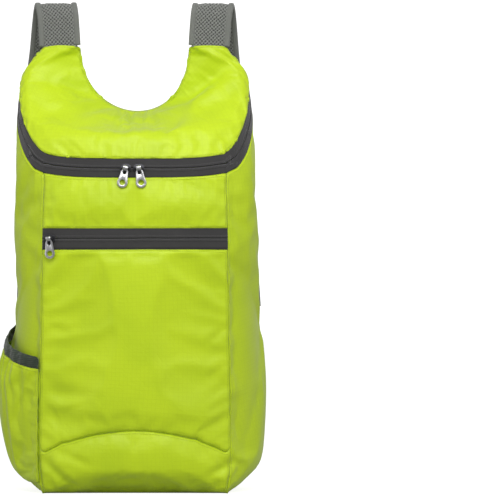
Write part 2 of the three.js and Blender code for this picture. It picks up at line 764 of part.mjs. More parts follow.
// An edge binding: square against the pad, chamfered on its free side
function edgeBand(from, sign, half) {
  const soft = 1.2;
  const free = sign < 0 ? from : from + strapEdge;
  const fixed = sign < 0 ? from + strapEdge : from;
  const inward = free - sign * soft;
  const outline = [
    [fixed, -half], [inward, -half], [free, -half + soft],
    [free, half - soft], [inward, half], [fixed, half],
  ];
  return sign < 0 ? outline.reverse() : outline;
}

function addStraps() {
  for (const row of strapSides) {
    const curve = strapCurve(row);
    const route = strapFrame(curve);
    const clear = hornHeight + 0.5 * hornArch + seamGap;
    const first = evenSteps(0, 0.2, 200).find((t) => curve.getPoint(t).z > clear);
    const edgeSteps = evenSteps(first, 1, 26);
    const steps = [0, ...edgeSteps];
    const padHalf = strapWidth / 2 - strapEdge;
    const pad = roundedBand(-padHalf + seamGap, padHalf - seamGap, strapPad / 2, 0.8);
    add(`strap_${row.name}`, band({ route, steps, profile: pad }), colours.mesh, { roughness: 0.95 });
    for (const [edge, sign] of [['inner', -row.side], ['outer', row.side]]) {
      const from = sign < 0 ? -strapWidth / 2 : padHalf;
      const profile = edgeBand(from, sign, strapPad / 2);
      add(`strap_${row.name}_binding_${edge}`, band({ route, steps: edgeSteps, profile }), colours.binding, {
        roughness: 0.8,
      });
    }
    addWebbing(row, curve);
  }
}

// Webbing from the strap's lower end through an adjuster to the lower side seam
function addWebbing(row, curve) {
  const end = curve.getPoint(1);
  const run = curve.getTangent(1);
  const start = end.clone().addScaledVector(run, seamGap);
  const anchor = gussetPoint(row.side, 1, anchorHeight);
  const innerEdge = 1 - (webbingWidth / 2 - anchorReach) / backSeamHalf;
  anchor.y += backWall + backStand(innerEdge, anchorHeight / hornHeight) + 2 * seamGap + webbingWall / 2;
  anchor.x += row.side * anchorReach;
  const onward = (distance) => start.clone().addScaledVector(run, distance);
  // Straight through the adjuster, then on to the anchor
  const straight = [0.5, 2.1, 2.8].map((share) => onward(share * adjusterLength));
  const webbingCurve = new THREE.CatmullRomCurve3([start, ...straight, anchor], false, 'centripetal');
  const route = strapFrame(webbingCurve);
  const half = webbingWidth / 2;
  const thin = webbingWall / 2;
  const profile = [[-half, -thin], [half, -thin], [half, thin], [-half, thin]];
  const webbing = band({ route, steps: evenSteps(0, 1, 12), profile });
  add(`webbing_${row.name}`, webbing, colours.webbing, { roughness: 0.9 });

  const across = levelAcross(run);
  const thick = run.clone().cross(across).normalize();
  const outerHalf = half + adjusterBar;
  const frame = new THREE.BoxGeometry(2 * outerHalf, adjusterLength, adjusterWall);
  const slot = new THREE.BoxGeometry(
    webbingWidth + 2 * adjusterPlay, adjusterLength + 2, webbingWall + 2 * adjusterPlay,
  );
  const adjuster = cut(frame, [slot]);
  const place = onward(1.5 * adjusterLength);
  const turned = new THREE.Matrix4().makeBasis(across, thick.clone().cross(across), thick);
  adjuster.applyMatrix4(turned.setPosition(place));
  add(`adjuster_${row.name}`, adjuster, colours.slider, { roughness: 0.5 });
}

// A slider lies on the tapes and carries a bridge bar between two posts, along the zip
const knuckleTilt = 0.5 * knuckleLength * Math.sin(pullLean); // how far a leaning knuckle's ends are off the bar
const knuckleBore = bridgeRadius + pullSwing + knuckleTilt;
const knuckleRadius = knuckleBore + knuckleWall;
const bridgeRise = knuckleRadius + knuckleTilt + pullSwing;

function sliderGeometry() {
  const outline = new THREE.Shape();
  const nose = 0.6 * sliderWidth;
  outline.moveTo(-sliderLength / 2, -nose / 2);
  outline.lineTo(-sliderLength / 6, -sliderWidth / 2);
  outline.absarc((sliderLength - sliderWidth) / 2, 0, sliderWidth / 2, -Math.PI / 2, Math.PI / 2, false);
  outline.lineTo(-sliderLength / 6, sliderWidth / 2);
  outline.lineTo(-sliderLength / 2, nose / 2);
  outline.closePath();
  const plate = new THREE.ExtrudeGeometry(outline, {
    depth: sliderPlate, bevelEnabled: false, curveSegments: 5,
  });
  const postHeight = bridgeRise + bridgeRadius + 0.5 * sliderPlate;
  const posts = [-1, 1].map((side) => {
    const post = new THREE.BoxGeometry(sliderPost, 2.4, postHeight);
    post.translate(side * (bridgeSpan + sliderPost) / 2, 0, 0.5 * sliderPlate + postHeight / 2);
    return post;
  });
  const bar = new THREE.CylinderGeometry(bridgeRadius, bridgeRadius, bridgeSpan + sliderPost, 8);
  bar.rotateZ(Math.PI / 2);
  bar.translate(0, 0, sliderPlate + bridgeRise);
  return joined([plate, ...posts, bar]);
}

// A pull tab: sheet metal rolled round the bridge, a slot below the roll and a ring at the end
function pullGeometry() {
  const ringCentre = -(pullLength - pullRing);
  const outline = new THREE.Shape();
  outline.moveTo(-knuckleLength / 2, 0);
  outline.lineTo(-knuckleLength / 2, -knuckleRadius);
  outline.lineTo(-pullTopWidth / 2, -1.9 * knuckleRadius);
  outline.lineTo(-pullRing * Math.cos(0.5), ringCentre + pullRing * Math.sin(0.5));
  outline.absarc(0, ringCentre, pullRing, Math.PI - 0.5, 2 * Math.PI + 0.5, false);
  outline.lineTo(pullTopWidth / 2, -1.9 * knuckleRadius);
  outline.lineTo(knuckleLength / 2, -knuckleRadius);
  outline.lineTo(knuckleLength / 2, 0);
  outline.closePath();
  const hole = new THREE.Path();
  hole.absarc(0, ringCentre, pullRingHole, 0, 2 * Math.PI, true);
  outline.holes.push(hole);
  const slot = new THREE.Path();
  const slotTop = -knuckleRadius - 0.6;
  const round = pullSlotWidth / 2;
  slot.moveTo(-round, slotTop);
  slot.lineTo(round, slotTop);
  slot.lineTo(round, slotTop - pullSlotLength + round);
  slot.absarc(0, slotTop - pullSlotLength + round, round, 0, -Math.PI, true);
  slot.closePath();
  outline.holes.push(slot);
  const sheet = new THREE.ExtrudeGeometry(outline, {
    depth: pullSheet, bevelEnabled: false, curveSegments: 7,
  });
  sheet.translate(0, 0, -knuckleRadius);
  const roll = new THREE.CylinderGeometry(knuckleRadius, knuckleRadius, knuckleLength, 12);
  const bore = new THREE.CylinderGeometry(knuckleBore, knuckleBore, knuckleLength + 2, 12);
  roll.rotateZ(Math.PI / 2);
  bore.rotateZ(Math.PI / 2);
  return cut(joined([sheet, roll]), [bore]);
}

// The bag's front at a place: where it is, along the zip, up the cloth and straight out of it
function frontFrame(x, z) {
  const s = section(z);
  const across = (x - s.lean) / s.seam;
  const along = frontPoint(across + 0.01, z).sub(frontPoint(across - 0.01, z)).normalize();
  const rise = frontPoint(across, z + 1).sub(frontPoint(across, z - 1));
  const outward = along.clone().cross(rise).normalize();
  return { here: frontPoint(across, z), along, up: outward.clone().cross(along), outward };
}

// Stands a local piece (x along the zip, y up, z outwards) on the bag's front
function standOnFront(geometry, { here, along, up, outward }, distance, lean) {
  const placed = geometry.clone();
  placed.rotateZ(lean);
  const place = here.clone().addScaledVector(outward, distance);
  placed.applyMatrix4(new THREE.Matrix4().makeBasis(along, up, outward).setPosition(place));
  return placed;
}

// Where each slider stands, how far its pull leans, and which way its nose points
const besideMiddle = (mainSliderGap + sliderLength) / 2;
const pocketZipEnd = section(pocketZipHeight).seam;
const pulls = [
  { name: 'main_left', x: mainSliderMiddle - besideMiddle, z: mainZipHeight, lean: -1, flip: -1 },
  { name: 'main_right', x: mainSliderMiddle + besideMiddle, z: mainZipHeight, lean: 0.8, flip: 1 },
  { name: 'pocket', x: pocketSliderInset - pocketZipEnd, z: pocketZipHeight, lean: 0.35, flip: 1 },
];

function addSliders() {
  const bridgeHeight = seamGap + sliderPlate + bridgeRise;
  for (const { name, x, z, lean, flip } of pulls) {
    const frame = frontFrame(x, z);
    const slider = sliderGeometry();
    if (flip > 0) slider.rotateZ(Math.PI);
    add(`${name}_slider`, standOnFront(slider, frame, seamGap, 0), colours.slider, {
      roughness: 0.45, metalness: 0.6,
    });
    add(`${name}_pull`, standOnFront(pullGeometry(), frame, bridgeHeight, lean * pullLean), colours.steel, {
      roughness: 0.3, metalness: 1,
    });
  }
}

addFrontPanels();
addBase();
addGussets();
addZipTapes();
addLid();
addBack();
addSidePocket();
addStraps();
addSliders();

// The origin is the middle of the footprint of the whole bag, on the floor
const box = new THREE.Box3().setFromObject(bag, true);
bag.position.set(-(box.min.x + box.max.x) / 2, -(box.min.y + box.max.y) / 2, -box.min.z);
bag.updateMatrixWorld(true);

export default bag;
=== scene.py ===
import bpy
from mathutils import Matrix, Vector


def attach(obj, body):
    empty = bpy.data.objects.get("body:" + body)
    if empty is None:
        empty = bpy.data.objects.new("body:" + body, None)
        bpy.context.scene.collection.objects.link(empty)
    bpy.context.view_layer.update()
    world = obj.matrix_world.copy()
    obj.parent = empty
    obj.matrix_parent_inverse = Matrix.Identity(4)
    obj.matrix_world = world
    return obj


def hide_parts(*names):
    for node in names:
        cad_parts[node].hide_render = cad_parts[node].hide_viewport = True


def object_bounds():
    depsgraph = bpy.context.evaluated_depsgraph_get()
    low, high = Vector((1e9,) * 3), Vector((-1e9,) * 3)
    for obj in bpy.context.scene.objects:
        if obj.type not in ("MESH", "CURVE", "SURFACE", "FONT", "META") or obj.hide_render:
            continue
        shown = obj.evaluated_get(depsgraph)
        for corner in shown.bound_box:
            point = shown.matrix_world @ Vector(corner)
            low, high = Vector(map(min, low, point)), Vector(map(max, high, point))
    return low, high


bl_info = {
    "name": "Packable Backpack",
    "version": (1, 0, 0),
    "blender": (4, 5, 0),
    "location": "View3D > Sidebar > Backpack",
    "description": "Sews, fills and finishes a packable backpack round its packed frame",
    "category": "Add Mesh",
}

import math

import bmesh
import bpy
from mathutils import Matrix, Vector, noise
from mathutils.geometry import intersect_point_line
from mathutils.kdtree import KDTree

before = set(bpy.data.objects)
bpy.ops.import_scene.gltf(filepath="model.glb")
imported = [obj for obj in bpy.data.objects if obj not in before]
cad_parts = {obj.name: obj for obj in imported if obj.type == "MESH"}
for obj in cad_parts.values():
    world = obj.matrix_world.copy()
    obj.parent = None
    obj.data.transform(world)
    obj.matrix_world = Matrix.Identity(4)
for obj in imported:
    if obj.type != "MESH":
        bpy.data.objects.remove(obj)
cad_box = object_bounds()

BODY = "pack"
MM = 0.001
MERGE = 0.02 * MM  # a CAD node's own loose corners
SEAM_REACH = 0.7 * MM  # neighbouring skins meet within this
RIM_REACH = 1.2 * MM  # a rim's points lie at most this far from the rim that it is sewn to
FLAT_TURN = math.radians(60)  # a skin's facets turn less than this, its rims more

# Cloth pieces cut from the sewn shell: the frame node each stands for, and its finish
SKINS = [
    {"node": "lid_panel", "piece": "lid_cloth", "finish": "ripstop"},
    {"node": "front_panel", "piece": "front_cloth", "finish": "ripstop"},
    {"node": "pocket_panel", "piece": "pocket_cloth", "finish": "ripstop"},
    {"node": "base_panel", "piece": "base_cloth", "finish": "ripstop"},
    {"node": "gusset_left", "piece": "gusset_left_cloth", "finish": "ripstop"},
    {"node": "gusset_right", "piece": "gusset_right_cloth", "finish": "ripstop"},
    {"node": "back_panel", "piece": "back_pad", "finish": "back_padding"},
    {"node": "main_zip_tape_upper", "piece": "main_tape_upper", "finish": "zip_tape"},
    {"node": "main_zip_tape_lower", "piece": "main_tape_lower", "finish": "zip_tape"},
    {"node": "pocket_zip_tape_upper", "piece": "pocket_tape_upper", "finish": "zip_tape"},
    {"node": "pocket_zip_tape_lower", "piece": "pocket_tape_lower", "finish": "zip_tape"},
    {"node": "side_pocket", "piece": "side_pocket_cloth", "finish": "ripstop"},
    {"node": "side_pocket_binding", "piece": "side_pocket_elastic", "finish": "elastic"},
]
SKIN_NUMBER = {row["node"]: number for number, row in enumerate(SKINS)}
TAPES = [row["node"] for row in SKINS if row["finish"] == "zip_tape"]
TAPE_NUMBERS = {SKIN_NUMBER[node] for node in TAPES}

# Folds of the front and lid in millimetres of the frame: where each starts and ends across and up the bag,
# its half width and its depth. A negative depth is a ridge.
FOLDS = [
    {"from_x": 100, "from_z": 436, "to_x": 45, "to_z": 397, "width": 8, "depth": 4.6},
    {"from_x": 92, "from_z": 418, "to_x": 52, "to_z": 384, "width": 8, "depth": -2.2},
    {"from_x": 62, "from_z": 398, "to_x": 40, "to_z": 366, "width": 6, "depth": 2.0},
    {"from_x": -80, "from_z": 416, "to_x": -42, "to_z": 407, "width": 6, "depth": 3.2},
    {"from_x": -92, "from_z": 392, "to_x": -60, "to_z": 372, "width": 7, "depth": 1.8},
    {"from_x": -56, "from_z": 383, "to_x": -26, "to_z": 391, "width": 5, "depth": 2.8},
    {"from_x": -12, "from_z": 386, "to_x": -15, "to_z": 366, "width": 3, "depth": 1.5},
    {"from_x": -2, "from_z": 385, "to_x": -3, "to_z": 362, "width": 3, "depth": 1.2},
    {"from_x": 10, "from_z": 385, "to_x": 9, "to_z": 366, "width": 3, "depth": 1.5},
    {"from_x": 21, "from_z": 386, "to_x": 24, "to_z": 368, "width": 3, "depth": 1.4},
    {"from_x": -60, "from_z": 328, "to_x": 20, "to_z": 322, "width": 9, "depth": 1.4},
    {"from_x": 40, "from_z": 316, "to_x": 92, "to_z": 300, "width": 8, "depth": 1.3},
    {"from_x": -84, "from_z": 169, "to_x": -64, "to_z": 162, "width": 3, "depth": 1.8},
    {"from_x": -89, "from_z": 102, "to_x": -34, "to_z": 97, "width": 6, "depth": 2.4},
    {"from_x": 97, "from_z": 166, "to_x": 80, "to_z": 153, "width": 3, "depth": 2.0},
    {"from_x": 97, "from_z": 130, "to_x": 80, "to_z": 118, "width": 3, "depth": 2.0},
    {"from_x": 98, "from_z": 109, "to_x": 82, "to_z": 101, "width": 3, "depth": 1.8},
    {"from_x": 97, "from_z": 94, "to_x": 80, "to_z": 84, "width": 3, "depth": 2.0},
    {"from_x": -84, "from_z": 32, "to_x": -58, "to_z": 8, "width": 4, "depth": 2.6},
    {"from_x": -70, "from_z": 42, "to_x": -40, "to_z": 30, "width": 4, "depth": 1.6},
    {"from_x": 106, "from_z": 32, "to_x": 80, "to_z": 20, "width": 4, "depth": 2.6},
]

STRAP_SIDES = ("left", "right")
PAD_HALF_WIDTH = 18 * MM  # the mesh runs under the bindings
PAD_HALF_THICK = 3.4 * MM
BINDING_HALF_WIDTH = 2.9 * MM
BINDING_HALF_THICK = 3.45 * MM
BINDING_SQUARE = 0.55  # 1 would be an ellipse, and less is squarer
WEBBING_HALF_WIDTH = 10 * MM
WEBBING_HALF_THICK = 0.75 * MM
# Points of each CAD section, and points of each finished one
PAD_CORNERS, PAD_AROUND = 8, 112
BINDING_CORNERS, BINDING_AROUND = 6, 28
WEBBING_CORNERS, WEBBING_AROUND = 4, 48

HARDWARE = [
    {"node": "main_left_slider", "body": BODY, "finish": "slider", "edge": 0.35},
    {"node": "main_right_slider", "body": BODY, "finish": "slider", "edge": 0.35},
    {"node": "pocket_slider", "body": BODY, "finish": "slider", "edge": 0.35},
    {"node": "main_left_pull", "body": "main_left_pull", "finish": "pull", "edge": 0.22},
    {"node": "main_right_pull", "body": "main_right_pull", "finish": "pull", "edge": 0.22},
    {"node": "pocket_pull", "body": "pocket_pull", "finish": "pull", "edge": 0.22},
    {"node": "adjuster_left", "body": BODY, "finish": "adjuster", "edge": 0.4},
    {"node": "adjuster_right", "body": BODY, "finish": "adjuster", "edge": 0.4},
]


def srgb(red, green, blue):
    """A screen colour of 0 to 255 as the linear colour that Blender takes."""
    shares = [channel / 255 for channel in (red, green, blue)]
    return tuple(s / 12.92 if s <= 0.04045 else ((s + 0.055) / 1.055) ** 2.4 for s in shares)


def smoothstep(value, low, high):
    share = min(max((value - low) / (high - low), 0), 1)
    return share * share * (3 - 2 * share)


class BackpackCloth(bpy.types.PropertyGroup):
    """How the sewn cloth fills out and folds."""

    wall: bpy.props.FloatProperty(
        name="Cloth wall", description="Thickness of the coated cloth with its seam allowance",
        default=1.1 * MM, unit="LENGTH",
    )
    back_wall: bpy.props.FloatProperty(
        name="Back pad", description="Thickness of the padded back panel", default=3 * MM, unit="LENGTH",
    )
    slack: bpy.props.FloatProperty(
        name="Slack", description="Share by which the cloth is longer than its seams", default=0.02,
        subtype="FACTOR",
    )
    fill: bpy.props.FloatProperty(
        name="Filling", description="Pressure of what fills the bag", default=1.2,
    )
    frames: bpy.props.IntProperty(
        name="Steps", description="Steps in which the cloth settles", default=16,
    )
    reach: bpy.props.FloatProperty(
        name="Reach", description="Farthest that the cloth may move as it fills", default=5 * MM,
        unit="LENGTH",
    )
    valley: bpy.props.FloatProperty(
        name="Seam valley", description="How deep a seam sits in the cloth", default=0.65 * MM, unit="LENGTH",
    )
    pucker: bpy.props.FloatProperty(
        name="Pucker", description="Height of the small gathers along the seams", default=1.0 * MM,
        unit="LENGTH",
    )
    lime: bpy.props.FloatVectorProperty(
        name="Cloth colour", description="Colour of the ripstop cloth", default=srgb(188, 215, 18), size=3,
        subtype="COLOR", min=0, max=1,
    )
    back_lime: bpy.props.FloatVectorProperty(
        name="Back colour", description="Colour of the padded back", default=srgb(180, 207, 18), size=3,
        subtype="COLOR", min=0, max=1,
    )
    grid: bpy.props.FloatProperty(
        name="Ripstop grid", description="Distance between the cloth's thicker threads", default=4.2 * MM,
        unit="LENGTH",
    )


class BackpackTrim(bpy.types.PropertyGroup):
    """Zips, straps, webbing and metal."""

    tape: bpy.props.FloatVectorProperty(
        name="Zip tape colour", description="Colour of the zip tapes", default=srgb(54, 53, 53), size=3,
        subtype="COLOR", min=0, max=1,
    )
    mesh: bpy.props.FloatVectorProperty(
        name="Mesh colour", description="Colour of the straps' knitted mesh", default=srgb(130, 132, 127),
        size=3, subtype="COLOR", min=0, max=1,
    )
    binding: bpy.props.FloatVectorProperty(
        name="Binding colour", description="Colour of the straps' woven bindings",
        default=srgb(114, 116, 111), size=3, subtype="COLOR", min=0, max=1,
    )
    elastic: bpy.props.FloatVectorProperty(
        name="Elastic colour", description="Colour of the side pocket's elastic", default=srgb(46, 58, 44),
        size=3, subtype="COLOR", min=0, max=1,
    )
    diamond: bpy.props.FloatProperty(
        name="Mesh pitch", description="Distance between the holes of the straps' mesh", default=3.8 * MM,
        unit="LENGTH",
    )
    hole: bpy.props.FloatProperty(
        name="Mesh hole depth", description="Depth of the holes of the straps' mesh", default=0.9 * MM,
        unit="LENGTH",
    )


class BackpackStage(bpy.types.PropertyGroup):
    """Floor, light and camera."""

    distance: bpy.props.FloatProperty(
        name="Camera distance", description="From the camera to the bag's front", default=3.5, unit="LENGTH",
    )
    across: bpy.props.FloatProperty(
        name="Camera place", description="How far the camera stands to the right of the bag's middle",
        default=0.1206, unit="LENGTH",
    )
    height: bpy.props.FloatProperty(
        name="Camera height", description="Height of the camera over the floor", default=0.245, unit="LENGTH",
    )
    view: bpy.props.FloatProperty(
        name="View width", description="Width that the camera sees at the bag's front", default=0.5,
        unit="LENGTH",
    )
    key: bpy.props.FloatProperty(
        name="Key light", description="Power of the large light above the front", default=7.6, unit="POWER",
    )
    fill: bpy.props.FloatProperty(
        name="Fill lights", description="Power of each soft light beside the bag", default=8, unit="POWER",
    )
    sky: bpy.props.FloatProperty(
        name="Surroundings", description="Strength of the even light from all round", default=0.38,
    )
    glow: bpy.props.FloatProperty(
        name="Backdrop", description="How bright the floor and backdrop look", default=0.85,
    )


# Node helpers

def add_node(tree, kind, inputs=None, **settings):
    """Adds a node, sets it up, and links or sets its inputs."""
    made = tree.nodes.new(kind)
    for key, value in settings.items():
        setattr(made, key, value)
    for key, value in (inputs or {}).items():
        if isinstance(value, bpy.types.NodeSocket):
            tree.links.new(value, made.inputs[key])
        else:
            made.inputs[key].default_value = value
    return made


def calc(tree, operation, *values):
    """The result of a Math node."""
    return add_node(tree, "ShaderNodeMath", dict(enumerate(values)), operation=operation).outputs[0]


def ramp(tree, value, low, high, to_low=0.0, to_high=1.0):
    """A value carried smoothly from one range to another."""
    inputs = {"Value": value, "From Min": low, "From Max": high, "To Min": to_low, "To Max": to_high}
    made = add_node(tree, "ShaderNodeMapRange", inputs, interpolation_type="SMOOTHSTEP")
    return made.outputs["Result"]


def blend_colour(tree, share, first, second, mode="MIX"):
    made = add_node(tree, "ShaderNodeMix", data_type="RGBA", blend_type=mode)
    for socket, value in ((made.inputs[0], share), (made.inputs[6], first), (made.inputs[7], second)):
        if isinstance(value, bpy.types.NodeSocket):
            tree.links.new(value, socket)
        else:
            socket.default_value = value
    return made.outputs[2]


def new_group(name, inputs, outputs):
    """A node group with named sockets. Inputs are (name, type, default)."""
    tree = bpy.data.node_groups.new(name, "ShaderNodeTree")
    for label, kind, default in inputs:
        socket = tree.interface.new_socket(label, in_out="INPUT", socket_type=kind)
        if default is not None:
            socket.default_value = default
    for label, kind in outputs:
        tree.interface.new_socket(label, in_out="OUTPUT", socket_type=kind)
    source = tree.nodes.new("NodeGroupInput").outputs
    result = tree.nodes.new("NodeGroupOutput").inputs
    return tree, source, result


def ripstop_group():
    """Thick threads in a square grid over a fine plain weave."""
    tree, source, result = new_group(
        "ripstop weave",
        [("Vector", "NodeSocketVector", None), ("Grid", "NodeSocketFloat", 4.2 * MM)],
        [("Lines", "NodeSocketFloat"), ("Height", "NodeSocketFloat")],
    )
    place = add_node(tree, "ShaderNodeSeparateXYZ", {0: source["Vector"]}).outputs
    lines = []
    weave = []
    for axis in range(2):
        share = calc(tree, "DIVIDE", place[axis], source["Grid"])
        near = calc(tree, "PINGPONG", share, 0.5)
        lines.append(ramp(tree, near, 0.16, 0.02))
        weave.append(calc(tree, "SINE", calc(tree, "MULTIPLY", share, 14 * math.pi)))
    grid = calc(tree, "MAXIMUM", *lines)
    plain = calc(tree, "MULTIPLY", *weave)
    height = calc(tree, "ADD", grid, calc(tree, "MULTIPLY", plain, 0.2))
    tree.links.new(grid, result["Lines"])
    tree.links.new(height, result["Height"])
    return tree


def mottle_group():
    """Uneven tint and soft hand creases of thin cloth."""
    tree, source, result = new_group(
        "cloth mottle",
        [("Vector", "NodeSocketVector", None), ("Scale", "NodeSocketFloat", 18.0)],
        [("Tint", "NodeSocketFloat"), ("Creases", "NodeSocketFloat")],
    )
    broad = add_node(tree, "ShaderNodeTexNoise", {
        "Vector": source["Vector"], "Scale": source["Scale"], "Detail": 3.0, "Roughness": 0.55,
        "Distortion": 0.6,
    }).outputs[0]
    fine = calc(tree, "MULTIPLY", source["Scale"], 3.2)
    folds = add_node(tree, "ShaderNodeTexNoise", {
        "Vector": source["Vector"], "Scale": fine, "Detail": 2.0, "Roughness": 0.5, "Distortion": 1.6,
    }).outputs[0]
    ridge = calc(tree, "ABSOLUTE", calc(tree, "SUBTRACT", folds, 0.5))
    tree.links.new(broad, result["Tint"])
    tree.links.new(calc(tree, "SUBTRACT", 1.0, calc(tree, "MULTIPLY", ridge, 4.0)), result["Creases"])
    return tree


def seam_group():
    """Painted shade in the seam valley, a row of stitches and small gathers beside a seam."""
    tree, source, result = new_group(
        "seam shade",
        [("Vector", "NodeSocketVector", None), ("Distance", "NodeSocketFloat", 0.02),
         ("Width", "NodeSocketFloat", 3 * MM)],
        [("Shade", "NodeSocketFloat"), ("Gathers", "NodeSocketFloat"), ("Stitches", "NodeSocketFloat")],
    )
    share = calc(tree, "DIVIDE", source["Distance"], source["Width"])
    shade = ramp(tree, share, 1.0, 0.0)
    near = ramp(tree, share, 6.0, 0.5)
    gathers = add_node(tree, "ShaderNodeTexNoise", {
        "Vector": source["Vector"], "Scale": 210.0, "Detail": 1.0, "Roughness": 0.5,
    }).outputs[0]
    row = calc(tree, "ABSOLUTE", calc(tree, "SUBTRACT", source["Distance"], 2.4 * MM))
    thread = ramp(tree, row, 0.5 * MM, 0.2 * MM)
    place = add_node(tree, "ShaderNodeSeparateXYZ", {0: source["Vector"]}).outputs
    along = calc(tree, "ADD", calc(tree, "ADD", place[0], place[1]), place[2])
    stitch = ramp(tree, calc(tree, "PINGPONG", calc(tree, "DIVIDE", along, 2.8 * MM), 0.5), 0.05, 0.14)
    tree.links.new(calc(tree, "MULTIPLY", thread, stitch), result["Stitches"])
    tree.links.new(shade, result["Shade"])
    tree.links.new(calc(tree, "MULTIPLY", gathers, near), result["Gathers"])
    return tree


def rib_group():
    """Ribs along a woven tape, crossed by finer threads."""
    tree, source, result = new_group(
        "ribbed weave",
        [("Vector", "NodeSocketVector", None), ("Rib", "NodeSocketFloat", 1.2 * MM),
         ("Thread", "NodeSocketFloat", 0.8 * MM)],
        [("Height", "NodeSocketFloat")],
    )
    place = add_node(tree, "ShaderNodeSeparateXYZ", {0: source["Vector"]}).outputs
    rib_share = calc(tree, "DIVIDE", place[1], source["Rib"])
    ribs = calc(tree, "SINE", calc(tree, "MULTIPLY", rib_share, 2 * math.pi))
    thread_share = calc(tree, "DIVIDE", place[0], source["Thread"])
    threads = calc(tree, "SINE", calc(tree, "MULTIPLY", thread_share, 2 * math.pi))
    height = calc(tree, "ADD", calc(tree, "MULTIPLY", ribs, 0.5), calc(tree, "MULTIPLY", threads, 0.35))
    tree.links.new(height, result["Height"])
    return tree


GROUP_MAKERS = {"ripstop": ripstop_group, "mottle": mottle_group, "seam": seam_group, "rib": rib_group}
groups = {}


def use_group(tree, name, inputs):
    """Places one of the shared groups, built once."""
    if name not in groups:
        groups[name] = GROUP_MAKERS[name]()
    made = tree.nodes.new("ShaderNodeGroup")
    made.node_tree = groups[name]
    for key, value in inputs.items():
        if isinstance(value, bpy.types.NodeSocket):
            tree.links.new(value, made.inputs[key])
        else:
            made.inputs[key].default_value = value
    return made.outputs


def new_material(name, **values):
    """A material with one Principled shader, whose plain values are set on its own sockets."""
    material = bpy.data.materials.new(name)
    material.use_nodes = True
    tree = material.node_tree
    shader = tree.nodes["Principled BSDF"]
    for key, value in values.items():
        shader.inputs[key.replace("_", " ")].default_value = value
    return material, tree, shader


def bump(tree, shader, height, strength, distance, under=None):
    inputs = {"Height": height, "Strength": strength, "Distance": distance}
    if under:
        inputs["Normal"] = under
    normal = add_node(tree, "ShaderNodeBump", inputs).outputs[0]
    tree.links.new(normal, shader.inputs["Normal"])
    return normal


def shifted(colour, factor, warm=0.0):
    """A colour made lighter or darker, and a little warmer."""
    red, green, blue = colour[:3]
    return (min(red * factor * (1 + warm), 1), min(green * factor, 1), min(blue * factor * (1 - warm), 1), 1)


def ripstop_finish(name, colour, grid):
    material, tree, shader = new_material(
        name, Roughness=0.5, Sheen_Weight=0.22, Sheen_Roughness=0.4, Specular_IOR_Level=0.4,
    )
    uv = add_node(tree, "ShaderNodeUVMap", uv_map="cloth").outputs[0]
    where = add_node(tree, "ShaderNodeTexCoord").outputs["Object"]
    distance = add_node(tree, "ShaderNodeAttribute", attribute_name="seam_distance").outputs["Fac"]
    weave = use_group(tree, "ripstop", {"Vector": uv, "Grid": grid})
    mottle = use_group(tree, "mottle", {"Vector": where, "Scale": 16.0})
    seam = use_group(tree, "seam", {"Vector": where, "Distance": distance, "Width": 1.6 * MM})
    tint = ramp(tree, mottle["Tint"], 0.3, 0.7)
    body = blend_colour(tree, tint, shifted(colour, 0.96), shifted(colour, 1.04, 0.02))
    threads = calc(tree, "MULTIPLY", weave["Lines"], 0.13)
    gridded = blend_colour(tree, threads, body, shifted(colour, 0.78))
    # painted shade: the cloth is darkened in the valley beside each seam
    sewn = blend_colour(tree, calc(tree, "MULTIPLY", seam["Shade"], 0.34), gridded, shifted(colour, 0.5))
    stitched = blend_colour(tree, calc(tree, "MULTIPLY", seam["Stitches"], 0.35), sewn, shifted(colour, 0.6))
    tree.links.new(stitched, shader.inputs["Base Color"])
    rough = calc(tree, "ADD", calc(tree, "MULTIPLY", mottle["Tint"], 0.16), 0.4)
    tree.links.new(rough, shader.inputs["Roughness"])
    first = bump(tree, shader, weave["Height"], 0.25, 0.1 * MM)
    second = bump(tree, shader, mottle["Creases"], 0.08, 1.2 * MM, first)
    third = bump(tree, shader, seam["Gathers"], 0.35, 1.2 * MM, second)
    bump(tree, shader, seam["Stitches"], 0.6, 0.4 * MM, third)
    return material


def tape_finish(colour):
    """Woven zip tape with the coil's ridge showing through beside the slit; the ridge gets a painted
    highlight, and the slit and the tape's outer edge get painted shade.
    """
    material, tree, shader = new_material("zip tape", Roughness=0.8, Sheen_Weight=0.3, Specular_IOR_Level=0.3)
    uv = add_node(tree, "ShaderNodeUVMap", uv_map="cloth").outputs[0]
    place = add_node(tree, "ShaderNodeSeparateXYZ", {0: uv}).outputs
    off = calc(tree, "ABSOLUTE", place[1])
    slit = ramp(tree, off, 1.1 * MM, 0.3 * MM)
    coil = calc(tree, "MULTIPLY", ramp(tree, off, 3.4 * MM, 2.6 * MM), ramp(tree, off, 0.4 * MM, 1.0 * MM))
    teeth = calc(tree, "SINE", calc(tree, "MULTIPLY", place[0], 2 * math.pi / (1.5 * MM)))
    edge = ramp(tree, off, 8.2 * MM, 9.2 * MM)
    weave = use_group(tree, "rib", {"Vector": uv, "Rib": 1.1 * MM, "Thread": 0.9 * MM})
    mottle = use_group(tree, "mottle", {"Vector": uv, "Scale": 60.0})
    cloth = blend_colour(tree, mottle["Tint"], shifted(colour, 0.8), shifted(colour, 1.15))
    # painted highlight: the coil's raised ridge is lighter
    raised = blend_colour(tree, calc(tree, "MULTIPLY", coil, 0.35), cloth, shifted(colour, 1.5))
    # painted shade: the slit between the tapes is darkened
    dark = blend_colour(tree, calc(tree, "MULTIPLY", slit, 0.85), raised, shifted(colour, 0.2))
    # painted shade: the tape is darkened towards its outer edge
    shaded = blend_colour(tree, calc(tree, "MULTIPLY", edge, 0.5), dark, shifted(colour, 0.5))
    tree.links.new(shaded, shader.inputs["Base Color"])
    ridge = calc(tree, "ADD", coil, calc(tree, "MULTIPLY", calc(tree, "MULTIPLY", teeth, coil), 0.25))
    first = bump(tree, shader, weave["Height"], 0.6, 0.18 * MM)
    bump(tree, shader, ridge, 0.8, 0.7 * MM, first)
    return material


